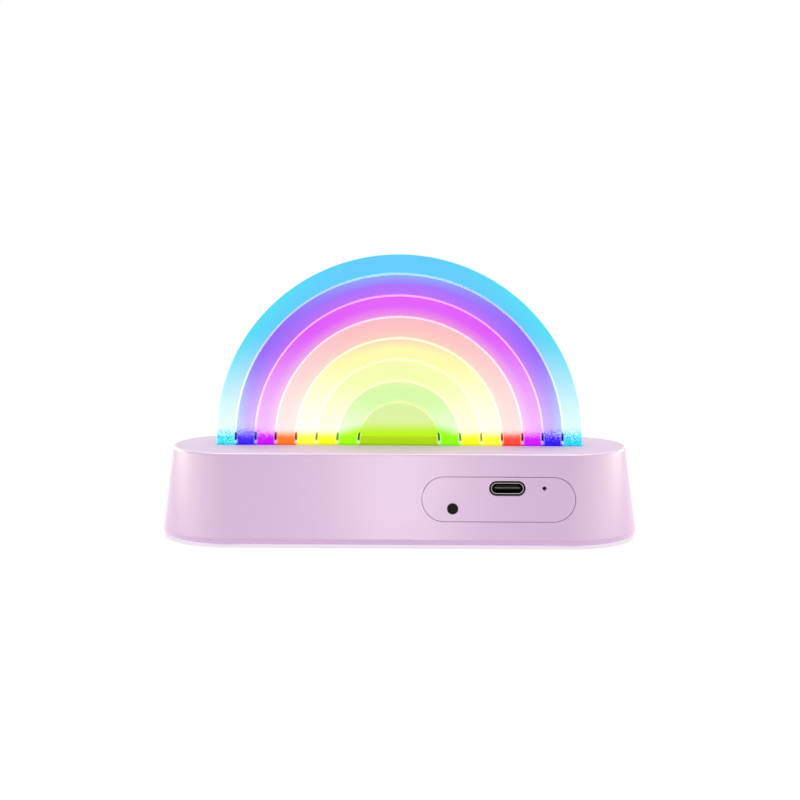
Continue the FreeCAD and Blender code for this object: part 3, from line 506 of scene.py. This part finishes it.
# Polished acrylic, lit from its edge: it tints what is seen through it, and its bands glow of themselves.
# The foot, which has the lavender base behind it, glows more.
SEEN_THROUGH = 0.55
GLOW_PER_FACE = 0.26
FOOT_GAIN = 0.5
FACE_GLOSS = 0.4
clear, tree, shader, spot = finish("clear_acrylic_laser_cut", IOR=1.49, Roughness=0.03,
                                   Transmission_Weight=1.0, Specular_Tint=[FACE_GLOSS] * 3 + [1.0],
                                   Emission_Strength=GLOW_PER_FACE)
light, at_foot, _ = band_light(tree, spot)
seen = add(tree, "ShaderNodeVectorMath", {0: light, "Scale": SEEN_THROUGH}, operation="SCALE")
gain = add(tree, "ShaderNodeMath", {0: at_foot, 1: FOOT_GAIN, 2: 1.0}, operation="MULTIPLY_ADD")
glowing = add(tree, "ShaderNodeVectorMath", {0: light, "Scale": gain}, operation="SCALE")
feed(shader, {"Base Color": seen, "Emission Color": glowing})

# The cut edge of the same sheet: the beam leaves it frosted, so it scatters the light and looks paler than
# the bands on its two sides. Where the painted shade of the slits' feet lies, it is opaque and no light goes
# through.
EDGE_WHITE = 0.36
EDGE_GLOW = 0.16
EDGE_CLEAR = 0.9
frosted, tree, shader, spot = finish("acrylic_frosted_cut_edge", IOR=1.49, Roughness=0.3,
                                     Specular_IOR_Level=0.0, Emission_Strength=EDGE_GLOW)
light, at_foot, slit_shade = band_light(tree, spot)
clearness = add(tree, "ShaderNodeMapRange", {0: slit_shade, 3: EDGE_CLEAR, 4: 0.0})
whiter = add(tree, "ShaderNodeMath", {0: at_foot, 1: -EDGE_WHITE, 2: EDGE_WHITE}, operation="MULTIPLY_ADD")
edge = add(tree, "ShaderNodeMix", {0: whiter, 6: light, 7: WHITE}, data_type="RGBA")
feed(shader, {"Base Color": edge, "Emission Color": edge, "Transmission Weight": clearness})


def parted(tree, number, count):
    """How many whole counts a number holds, and what is left of it."""
    share = add(tree, "ShaderNodeMath", {0: number, 1: count}, operation="DIVIDE")
    whole = add(tree, "ShaderNodeMath", {0: share}, operation="FLOOR")
    return whole, add(tree, "ShaderNodeMath", {0: number, 1: count}, operation="MODULO")


def heading(tree, angle):
    """The unit vector at an angle from X towards Y."""
    along = add(tree, "ShaderNodeMath", {0: angle}, operation="COSINE")
    across = add(tree, "ShaderNodeMath", {0: angle}, operation="SINE")
    return add(tree, "ShaderNodeCombineXYZ", {"X": along, "Y": across})


plate_sizes = {"Thickness": plate_high.y - plate_low.y, "Slits": SLITS, "First radius": FIRST_SLIT,
               "Pitch": SLIT_PITCH, "Narrowing": NARROWING, "Half width": SLIT_WIDTH / 2, "Foot": SLIT_FOOT,
               "Leg": SLIT_LEG, "Leg growth": LEG_GROWTH, "Chamfer": CUT_CHAMFER}
tree, plate_in = sized_tree("arched_slits_through_a_plate", plate_sizes)
size = plate_in.outputs
# Each slit starts as a ring of points: a run of them for each half circle and a few for each round foot.
ARC_POINTS = 97
FOOT_POINTS = 9
HALF_RING = ARC_POINTS + FOOT_POINTS
ring = add(tree, "GeometryNodeMeshCircle", {"Vertices": HALF_RING * 2})
starts = add(tree, "GeometryNodePoints", {"Count": size["Slits"]})
rings = add(tree, "GeometryNodeInstanceOnPoints", {"Points": starts, "Instance": ring})
loops = add(tree, "GeometryNodeRealizeInstances", {0: rings})
index = add(tree, "GeometryNodeInputIndex")
slit, in_ring = parted(tree, index, HALF_RING * 2.0)
inside, step = parted(tree, in_ring, float(HALF_RING))
side = add(tree, "ShaderNodeMath", {0: inside, 1: -2.0, 2: 1.0}, operation="MULTIPLY_ADD")
on_arc = add(tree, "ShaderNodeMath", {0: step, 1: ARC_POINTS - 0.5}, operation="LESS_THAN")
# The slit's middle radius, and the centre of its half circles, by its number.
before = add(tree, "ShaderNodeMath", {0: slit, 1: 1.0}, operation="SUBTRACT")
pairs = add(tree, "ShaderNodeMath", {0: slit, 1: before}, operation="MULTIPLY")
drawn_in = add(tree, "ShaderNodeMath", {0: pairs, 1: size["Narrowing"]}, operation="MULTIPLY")
wide = add(tree, "ShaderNodeMath", {0: slit, 1: size["Pitch"], 2: size["First radius"]},
           operation="MULTIPLY_ADD")
radius = add(tree, "ShaderNodeMath", {0: drawn_in, 1: -0.5, 2: wide}, operation="MULTIPLY_ADD")
square = add(tree, "ShaderNodeMath", {0: slit, 1: slit}, operation="MULTIPLY")
knee = add(tree, "ShaderNodeMath", {0: size["Foot"], 1: size["Leg"]}, operation="ADD")
height = add(tree, "ShaderNodeMath", {0: square, 1: size["Leg growth"], 2: knee}, operation="MULTIPLY_ADD")
# On the arc: out from right to left along the outer half circle, and back along the inner one.
arc_share = add(tree, "ShaderNodeMath", {0: step, 1: ARC_POINTS - 1.0}, operation="DIVIDE")
swept = add(tree, "ShaderNodeMath", {0: arc_share, 1: side, 2: inside}, operation="MULTIPLY_ADD")
angle = add(tree, "ShaderNodeMath", {0: swept, 1: math.pi}, operation="MULTIPLY")
arc_way = heading(tree, angle)
arc_arm = add(tree, "ShaderNodeVectorMath", {0: arc_way, "Scale": radius}, operation="SCALE")
arc_centre = add(tree, "ShaderNodeCombineXYZ", {"Y": height})
arc_middle = add(tree, "ShaderNodeVectorMath", {0: arc_arm, 1: arc_centre})
arc_out = add(tree, "ShaderNodeVectorMath", {0: arc_way, "Scale": side}, operation="SCALE")
# At the foot: a half circle that bulges down.
past = add(tree, "ShaderNodeMath", {0: step, 1: float(ARC_POINTS)}, operation="SUBTRACT")
foot_angle = add(tree, "ShaderNodeMath", {0: past, 1: math.pi / (FOOT_POINTS - 1), 2: math.pi},
                 operation="MULTIPLY_ADD")
foot_out = heading(tree, foot_angle)
foot_side = add(tree, "ShaderNodeMath", {0: side, 1: -1.0}, operation="MULTIPLY")
foot_place = add(tree, "ShaderNodeMath", {0: foot_side, 1: radius}, operation="MULTIPLY")
foot_middle = add(tree, "ShaderNodeCombineXYZ", {"X": foot_place, "Y": size["Foot"]})
middle = add(tree, "ShaderNodeMix", {0: on_arc, 4: foot_middle, 5: arc_middle}, data_type="VECTOR")
outward = add(tree, "ShaderNodeMix", {0: on_arc, 4: foot_out, 5: arc_out}, data_type="VECTOR")
kept_middle = add(tree, "GeometryNodeStoreNamedAttribute",
                  {"Geometry": loops, "Name": "middle", "Value": middle}, data_type="FLOAT_VECTOR")
kept = add(tree, "GeometryNodeStoreNamedAttribute",
           {"Geometry": kept_middle, "Name": "outward", "Value": outward}, data_type="FLOAT_VECTOR")
middle_read = add(tree, "GeometryNodeInputNamedAttribute", {"Name": "middle"}, data_type="FLOAT_VECTOR")
outward_read = add(tree, "GeometryNodeInputNamedAttribute", {"Name": "outward"}, data_type="FLOAT_VECTOR")
half_deep = add(tree, "ShaderNodeMath", {0: size["Thickness"], 1: 0.5}, operation="MULTIPLY")
edge_deep = add(tree, "ShaderNodeMath", {0: half_deep, 1: size["Chamfer"]}, operation="SUBTRACT")
mouth = add(tree, "ShaderNodeMath", {0: size["Half width"], 1: size["Chamfer"]}, operation="ADD")
# Four rings make a slit's wall: mouth and edge at the front, edge and mouth at the back.
drawn_edges = True
wall = kept
for deep, half_width, sign in ((half_deep, mouth, 1.0), (edge_deep, size["Half width"], 1.0),
                               (edge_deep, size["Half width"], -1.0), (half_deep, mouth, -1.0)):
    depth = add(tree, "ShaderNodeMath", {0: deep, 1: sign}, operation="MULTIPLY")
    level = add(tree, "ShaderNodeCombineXYZ", {"Z": depth})
    spread = add(tree, "ShaderNodeVectorMath", {0: outward_read, "Scale": half_width}, operation="SCALE")
    planned = add(tree, "ShaderNodeVectorMath", {0: middle_read, 1: spread})
    place = add(tree, "ShaderNodeVectorMath", {0: planned, 1: level})
    if wall == kept:
        moved = add(tree, "GeometryNodeSetPosition", {"Geometry": wall, "Position": place})
        mouths = moved
    else:
        drawn = add(tree, "GeometryNodeExtrudeMesh", {"Mesh": wall, "Selection": drawn_edges,
                                                      "Offset Scale": 0.0}, mode="EDGES")
        drawn_edges = drawn.outputs["Top"]
        moved = add(tree, "GeometryNodeSetPosition", {"Geometry": drawn, "Selection": drawn_edges,
                                                      "Position": place})
    wall = moved
cut_edges = add(tree, "GeometryNodeStoreNamedAttribute",
                {"Geometry": wall, "Name": "cut_edge", "Value": True}, data_type="BOOLEAN", domain="FACE")
# The outline's own wall, and the two faces, filled between the outline and the mouths of the slits.
up = add(tree, "ShaderNodeCombineXYZ", {"Z": half_deep})
front_outline = add(tree, "GeometryNodeTransform", {"Geometry": size["Start"], "Translation": up})
full_depth = add(tree, "ShaderNodeMath", {0: size["Thickness"], 1: -1.0}, operation="MULTIPLY")
down = add(tree, "ShaderNodeCombineXYZ", {"Z": full_depth})
rim = add(tree, "GeometryNodeExtrudeMesh", {"Mesh": front_outline, "Offset": down, "Offset Scale": 1.0},
          mode="EDGES")
outlines = add(tree, "GeometryNodeJoinGeometry", {0: front_outline})
feed(outlines, {0: mouths})
curves = add(tree, "GeometryNodeMeshToCurve", {0: outlines})
front_fill = add(tree, "GeometryNodeFillCurve", {"Curve": curves})
front = add(tree, "GeometryNodeTransform", {"Geometry": front_fill, "Translation": up})
back = add(tree, "GeometryNodeTransform", {"Geometry": front, "Translation": down})
sheet = add(tree, "GeometryNodeJoinGeometry", {0: front})
for part in (back, rim, cut_edges):
    feed(sheet, {0: part})
upright = add(tree, "GeometryNodeTransform", {"Geometry": sheet, "Rotation": (math.pi / 2, 0.0, 0.0)})
whole = add(tree, "GeometryNodeRealizeInstances", {0: upright})
polished = add(tree, "GeometryNodeSetMaterial", {"Geometry": whole, "Material": clear})
edge_read = add(tree, "GeometryNodeInputNamedAttribute", {"Name": "cut_edge"}, data_type="BOOLEAN")
covered = add(tree, "GeometryNodeSetMaterial", {"Geometry": polished, "Material": frosted,
                                                "Selection": edge_read})
add(tree, "NodeGroupOutput", {"Result": covered})
plate = grown("arched_plate", plate_outline(OUTLINE_STEPS), tree, plate_sizes)
# A thin web stands across each slit, in the middle of the sheet. As high as the ticks it is dark, painted
# shade that stands for the shade inside the slit's foot. Its ends are level with the ticks' lower ends, on
# the slit's legs, or on its arc where that begins lower.
SHADE_WEB = 0.2 * MM
SHADE_WEB_STEPS = 96
SHADE_WEB_SHARE = 0.96
shade_webbed = bmesh.new()
shade_webbed.from_mesh(plate.data)
shade_webs = []
for k in range(SLITS):
    springing = SLIT_FOOT + SLIT_LEG + LEG_GROWTH * k ** 2
    radius = slit_radius(k)
    first = math.asin(max(TICK_LOW - springing, 0) / radius)
    turns = [first + (math.pi - 2 * first) * step / SHADE_WEB_STEPS for step in range(SHADE_WEB_STEPS + 1)]
    arch = [(radius * math.cos(turn), springing + radius * math.sin(turn)) for turn in turns]
    foot = [(radius, TICK_LOW)] if springing > TICK_LOW else []
    spine = foot + arch + [(-x, height) for x, height in foot]
    rings = []
    for x, height in spine:
        outward = Vector((x, 0, max(height - springing, 0))).normalized() * SHADE_WEB_SHARE * SLIT_WIDTH / 2
        deep = Vector((0, SHADE_WEB / 2, 0))
        middle = Vector((x, (plate_low.y + plate_high.y) / 2, height))
        corners = (middle - outward - deep, middle + outward - deep,
                   middle + outward + deep, middle - outward + deep)
        rings.append([shade_webbed.verts.new(corner) for corner in corners])
    shade_webs += [shade_webbed.faces.new(rings[0]), shade_webbed.faces.new(rings[-1])]
    for ring, following in zip(rings, rings[1:]):
        for side in range(4):
            shade_webs.append(shade_webbed.faces.new((ring[side - 1], ring[side], following[side], following[side - 1])))
for shade_web in shade_webs:
    shade_web.material_index = plate.data.materials.find(frosted.name)
bmesh.ops.recalc_face_normals(shade_webbed, faces=shade_webbed.faces)
shade_webbed.to_mesh(plate.data)
shade_webbed.free()
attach(plate, "lamp")
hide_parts("rainbow_plate")

# Plate holder: a white ABS trough under the base's ceiling, screwed to four bosses. It traps the plate's ears
# and has a cell for each light, so that no colour strays into the next band.
# Polished white: glossy, so that it throws the light up.
dress(moulded("white_abs_polished_cells", "#F1EFEA", "#E9E6E0", 0.4 * MM, 0.35, IOR=1.54), "plate_holder")

# Light board: a strip of glass-epoxy under the holder, with a light under each leg of each band, joined to
# the main board by a four-pin header. The mask is green and glossy, and the copper tracks show through it.
TRACK_RUNS = 6.0
TRACK_EDGE_LOW, TRACK_EDGE_HIGH = 0.45, 0.55
TRACK_THICK = 0.03 * MM


def etched_board(name, mask, track, pitch):
    """A circuit board: tracks show through the mask as a lighter pattern at their pitch, over woven glass."""
    made, tree, shader, spot = finish(name, Roughness=0.35)
    bent = add(tree, "ShaderNodeTexVoronoi", {"Vector": spot, "Scale": 1 / (pitch * TRACK_RUNS)},
               distance="MANHATTAN")
    runs = add(tree, "ShaderNodeMath", {0: bent, 1: TRACK_RUNS}, operation="MULTIPLY")
    waves = add(tree, "ShaderNodeMath", {0: runs, 1: 1.0}, operation="FRACT")
    copper = add(tree, "ShaderNodeMapRange", {0: waves, 1: TRACK_EDGE_LOW, 2: TRACK_EDGE_HIGH})
    tone = add(tree, "ShaderNodeMix", {0: copper, 6: linear(mask), 7: linear(track)}, data_type="RGBA")
    step_up = add(tree, "ShaderNodeBump", {"Strength": 0.3, "Distance": TRACK_THICK, "Height": copper})
    feed(shader, {"Base Color": tone, "Normal": step_up})
    return made


solder_mask = etched_board("green_solder_mask_on_copper", "#0E5233", "#1C7A4C", 0.5 * MM)
dress(solder_mask, "led_board", "main_board")
# Cast resin: the lights' windows are pale yellow, between white frames.
WINDOW_HALF = 0.9 * MM
WINDOW_EDGE = 0.1 * MM
CLOUD = 0.3 * MM


def phosphor():
    """A light: a white resin frame round a window of cloudy resin, which glows a little."""
    made, tree, shader, spot = finish("led_resin_cast", Roughness=0.3, Emission_Strength=0.4)
    axes = add(tree, "ShaderNodeSeparateXYZ", {0: spot}).outputs
    across = add(tree, "ShaderNodeMath", {0: axes["Y"]}, operation="ABSOLUTE")
    frame_share = add(tree, "ShaderNodeMapRange", {0: across, 1: WINDOW_HALF, 2: WINDOW_HALF + WINDOW_EDGE})
    cloud = add(tree, "ShaderNodeTexNoise", {"Vector": spot, "Scale": 1 / CLOUD})
    window = add(tree, "ShaderNodeMix", {0: cloud, 6: linear("#F3E7A8"), 7: linear("#FBF4CF")},
                 data_type="RGBA")
    tone = add(tree, "ShaderNodeMix", {0: frame_share, 6: window, 7: linear("#F4F2EC")}, data_type="RGBA")
    feed(shader, {"Base Color": tone, "Emission Color": window})
    return made


dress(phosphor(), "leds")
# Glass-filled nylon: dull black with pale specks of fibre.
black_nylon = moulded("black_nylon_glass_filled", "#1B1A1B", "#29282A", 0.25 * MM, 0.5)
dress(black_nylon, "board_header")

# Port panel: a flush lozenge of the base's own ABS in an opening of its wall, taped behind by its flange.
# It takes the socket's mouth, the button's guide and the microphone hole.
dress(lavender, "port_panel")
# Foam tape and gasket foam: matt black, with open cells.
black_foam = moulded("black_foam_open_cell", "#0C0B0C", "#131213", 0.5 * MM, 0.9)
dress(black_foam, "panel_tape", "mic_gasket", "battery_tape")

# Socket: a USB-C shell rolled from stainless strip and soldered to the main board by its legs, with a black
# insulating tongue that carries twelve gold contacts on each face.
FACE_DEPTH = 0.04 * MM


def faced(made, node, middle, half_line, reach, colour):
    """Gives a finish another colour on a node's front, up to a reach from a level line. Returns where."""
    tree = made.node_tree
    shader = tree.nodes["Principled BSDF"]
    bare = shader.inputs["Base Color"].links[0].from_socket
    spot = add(tree, "ShaderNodeTexCoord").outputs["Object"]
    centred = add(tree, "ShaderNodeVectorMath", {0: spot, 1: middle}, operation="SUBTRACT")
    axes = add(tree, "ShaderNodeSeparateXYZ", {0: centred}).outputs
    side = add(tree, "ShaderNodeMath", {0: axes["X"]}, operation="ABSOLUTE")
    past = add(tree, "ShaderNodeMath", {0: side, 1: half_line}, operation="SUBTRACT")
    over = add(tree, "ShaderNodeMath", {0: past, 1: 0.0}, operation="MAXIMUM")
    arm = add(tree, "ShaderNodeCombineXYZ", {"X": over, "Z": axes["Z"]})
    off = add(tree, "ShaderNodeVectorMath", {0: arm}, operation="LENGTH")
    near = add(tree, "ShaderNodeMath", {0: off, 1: reach}, operation="LESS_THAN")
    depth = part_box(node)[0].y - middle.y + FACE_DEPTH
    front = add(tree, "ShaderNodeMath", {0: axes["Y"], 1: depth}, operation="LESS_THAN")
    there = add(tree, "ShaderNodeMath", {0: near, 1: front}, operation="MULTIPLY")
    both = add(tree, "ShaderNodeMix", {0: there, 6: bare, 7: linear(colour)}, data_type="RGBA")
    feed(shader, {"Base Color": both})
    return there


# Stainless strip, painted dark as the shade in and round the socket. Its front edge at the mouth carries a
# painted highlight on the inner half of the strip, and the outer half stays dark.
tongue_low, tongue_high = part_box("usb_tongue")
mouth = (tongue_low + tongue_high) / 2
MOUTH_WIDTH, MOUTH_HEIGHT = 8.34 * MM, 2.66 * MM
MOUTH_RING_HIGHLIGHT = 0.11 * MM
TONGUE_LINE = 0.08 * MM
shaded_steel = plated("stainless_strip_painted_shade", "#3C3B3A", "#2E2D2C", 0.25 * MM, 0.45)
# The painted highlight: a pale ring on the front round the mouth.
faced(shaded_steel, "usb_shell", mouth, (MOUTH_WIDTH - MOUTH_HEIGHT) / 2, MOUTH_HEIGHT / 2 + MOUTH_RING_HIGHLIGHT, "#B4B3B1")
dress(shaded_steel, "usb_shell")
# Black polymer, moulded over a steel plate whose edge shows as a thin line along the middle of the tongue.
polymer = moulded("black_liquid_crystal_polymer", "#0A0909", "#0F0E0E", 0.2 * MM, 0.5, Specular_IOR_Level=0.2)
faced(polymer, "usb_tongue", mouth, MOUTH_WIDTH / 2, TONGUE_LINE, "#7C7C7F")
dress(polymer, "usb_tongue")
# Gold flash, its yellow painted dull and brown as the shade deep in the socket.
dress(plated("gold_flash_on_nickel", "#7E6A42", "#6A5936", 0.2 * MM, 0.3), "usb_contacts")

# Button: a black ABS cap that slides in the panel's guide and works a side-push switch on the main board.
# Its face is slightly dished, with a rolled rim, and a flange behind stops it in the guide.
cap_low, cap_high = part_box("button_cap")
CAP_FLANGE_REACH = 0.85 * MM
CAP_FLANGE = 0.6 * MM
CAP_RIM = 0.18 * MM
CAP_DISH = 0.07 * MM
DISH_RINGS = 0.9, 0.7, 0.45, 0
CAP_SEGMENTS = 64
CAP_SHARP = math.radians(40)
cap_long = cap_high.y - cap_low.y
flange_radius = (cap_high.x - cap_low.x) / 2
cap_radius = flange_radius - CAP_FLANGE_REACH
cap_profile = [(0, 0), (flange_radius, 0), (flange_radius, CAP_FLANGE), (cap_radius, CAP_FLANGE)]
cap_profile += rolled_edge(cap_radius, cap_long, CAP_RIM, "side")
cap_profile += [((cap_radius - CAP_RIM) * share, cap_long - CAP_DISH * (1 - share ** 2))
                for share in DISH_RINGS]
cap_mesh = turned(cap_profile, CAP_SEGMENTS)
cap_place = ((cap_low.x + cap_high.x) / 2, cap_high.y, (cap_low.z + cap_high.z) / 2)
cap_mesh.transform(Matrix.Translation(cap_place) @ Matrix.Rotation(math.pi / 2, 4, "X"))
cap_mesh.shade_smooth()
cap_mesh.set_sharp_from_angle(angle=CAP_SHARP)
# Satin black: warm and nearly flat, with a soft rim of light.
cap_mesh.materials.append(moulded("black_abs_satin", "#0B0908", "#0F0C0B", 0.25 * MM, 0.5,
                                  Specular_IOR_Level=0.1))
cap = shown("button", cap_mesh)
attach(cap, "button")
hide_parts("button_cap")
dress(black_nylon, "switch_plunger", "switch_body")

# Microphone: an aluminium capsule at the notched edge of the main board, sealed to the panel by a foam
# gasket. Sound reaches it through the pinhole.
mic_low, mic_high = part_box("microphone")


def felted_can():
    """A drawn aluminium can whose open front is covered with a disc of black felt."""
    made = plated("aluminium_drawn_can_with_felt", "#C9CBCD", "#B5B7BA", 0.4 * MM, 0.4)
    felt = faced(made, "microphone", (mic_low + mic_high) / 2, 0.0, mic_high.x - mic_low.x, "#060606")
    tree = made.node_tree
    metal = add(tree, "ShaderNodeMath", {0: 1.0, 1: felt}, operation="SUBTRACT")
    feed(tree.nodes["Principled BSDF"], {"Metallic": metal})
    return made


dress(felted_can(), "microphone")

# Main board's chips: two epoxy packages, transfer moulded and soldered to the board.
# They are matt black, with a fine grain.
dress(moulded("black_epoxy_transfer_moulded", "#1D1D1E", "#262627", 0.15 * MM, 0.6), "board_chips")

# Battery: a flat lithium pouch in laminated foil, taped to the cover, with two leads to the main board.
# The foil is crinkled and silvery.
dress(plated("laminated_pouch_foil", "#D3D4D6", "#BCBDBF", 3 * MM, 0.35), "battery")
DRAW_MARK = 0.5 * MM
DRAW_DEPTH = 0.02 * MM


def lead_skin():
    """Insulated leads: soft vinyl, red on the one side and black on the other."""
    made, tree, shader, spot = finish("vinyl_extruded", Roughness=0.4)
    axes = add(tree, "ShaderNodeSeparateXYZ", {0: spot}).outputs
    which = add(tree, "ShaderNodeMath", {0: axes["Y"], 1: 0.0}, operation="GREATER_THAN")
    tone = add(tree, "ShaderNodeMix", {0: which, 6: linear("#1E1D1E"), 7: linear("#B3262B")},
               data_type="RGBA")
    draw = add(tree, "ShaderNodeTexNoise", {"Vector": spot, "Scale": 1 / DRAW_MARK})
    relief = add(tree, "ShaderNodeBump", {"Strength": 0.2, "Distance": DRAW_DEPTH, "Height": draw})
    feed(shader, {"Base Color": tone, "Normal": relief})
    return made


dress(lead_skin(), "battery_leads")

# Studio: a plain white floor that keeps the lamp's soft shadow, a white surround, a tall strip of light
# behind the camera for the panel side, a soft box overhead and a fan of low ones round each end.
world = bpy.data.worlds.new("white_surround")
bpy.context.scene.world = world
world.use_nodes = True
tree = world.node_tree
tree.nodes.clear()
# The surround is white to a ray from the camera, off a gloss or through the acrylic, and only fills shadows
# for the others.
path = add(tree, "ShaderNodeLightPath").outputs
sharp = add(tree, "ShaderNodeMath", {0: path["Is Camera Ray"], 1: path["Is Glossy Ray"]}, operation="MAXIMUM")
white_to = add(tree, "ShaderNodeMath", {0: sharp, 1: path["Is Transmission Ray"]}, operation="MAXIMUM")
AMBIENT = 0.06
strength = add(tree, "ShaderNodeMapRange", {0: white_to, 3: AMBIENT, 4: 1.0})
surround = add(tree, "ShaderNodeBackground", {"Color": WHITE, "Strength": strength})
add(tree, "ShaderNodeOutputWorld", {0: surround})

floor_mesh = bpy.data.meshes.new("floor")
FLOOR_HALF = 0.5
FADE_START = 0.2
FLOOR_GLOW = 0.5
floor_mesh.from_pydata([(-FLOOR_HALF, -FLOOR_HALF, 0), (FLOOR_HALF, -FLOOR_HALF, 0),
                        (FLOOR_HALF, FLOOR_HALF, 0), (-FLOOR_HALF, FLOOR_HALF, 0)], [], [(0, 1, 2, 3)])
floor = shown("floor", floor_mesh)
# Lit acrylic: an even white that takes the shadow and fades into the surround.
table, tree, shader, spot = finish("white_acrylic_lit_table", Base_Color=linear("#D4D4D4"), Roughness=0.9,
                                   Emission_Color=WHITE, Emission_Strength=FLOOR_GLOW,
                                   Specular_IOR_Level=0.0)
reach = add(tree, "ShaderNodeVectorMath", {0: spot}, operation="LENGTH")
fading = add(tree, "ShaderNodeMapRange", {0: reach, 1: FADE_START, 2: FLOOR_HALF, 3: 1.0, 4: 0.0}, **SMOOTH)
feed(shader, {"Alpha": fading})
floor_mesh.materials.append(table)


def soft_box(name, place, aim, width, height, power, colour="#FFFFFF"):
    """An area light at a place, turned towards a point."""
    lamp = bpy.data.lights.new(name, "AREA")
    lamp.shape = "RECTANGLE"
    lamp.size = width
    lamp.size_y = height
    lamp.energy = power
    lamp.color = linear(colour)[:3]
    holder = shown(name, lamp)
    holder.location = place
    holder.rotation_euler = (Vector(aim) - Vector(place)).to_track_quat("-Z", "Y").to_euler()


STRIP_LEFT, STRIP_OFF, STRIP_MIDDLE = 0.034, 1.2, 0.23
soft_box("strip_behind_camera", (-STRIP_LEFT, -STRIP_OFF, STRIP_MIDDLE), (-STRIP_LEFT, 0.0, STRIP_MIDDLE),
         width=0.04, height=0.4, power=1.16, colour="#FFFFEA")
OVERHEAD = 0.9
soft_box("overhead_box", (0.0, 0.0, OVERHEAD), (0.0, 0.0, 0.0), width=0.8, height=0.8, power=8.2)
# Round each end stands a fan of low boxes, edge to edge, that grow brighter towards the back.
FAN = 14
END_MIDDLE, FAN_AIM = 0.05, 0.02
FAN_STEP = math.radians(10)
FAN_REACH = 0.75
FAN_WIDTH = 2 * FAN_REACH * math.tan(FAN_STEP / 2)
FAN_HEIGHT = 0.2
FAN_FIRST_POWER = 0.1
FAN_POWER_RISE = 0.032
FAN_BACK_RISE = 0.0012
for name, sign in (("left", -1), ("right", 1)):
    aim = (sign * END_MIDDLE, 0.0, FAN_AIM)
    for step in range(FAN):
        turn = FAN_STEP * (step + 1)
        place = (aim[0] + sign * FAN_REACH * math.sin(turn), -FAN_REACH * math.cos(turn), FAN_HEIGHT / 2)
        power = FAN_FIRST_POWER + FAN_POWER_RISE * step + FAN_BACK_RISE * step ** 2
        soft_box(f"{name}_fan_{step}", place, aim, FAN_WIDTH, FAN_HEIGHT, power, "#FCFFD8")

# Camera: half a metre in front of the lamp and a little to the right, looking slightly down.
# Its place, its turn in degrees and its lens are those that the photograph's edges fit best.
CAMERA_DOWN, CAMERA_TURN = 7.745, 1.5785
eye = bpy.data.cameras.new("camera")
eye.lens = 83.37
eye.sensor_width = 36.0
camera = shown("camera", eye)
camera.location = (0.01405, -0.4998, 0.1052)
camera.rotation_euler = (math.radians(90 - CAMERA_DOWN), 0.0, math.radians(CAMERA_TURN))
bpy.context.scene.camera = camera
bpy.context.scene.view_settings.view_transform = "Standard"
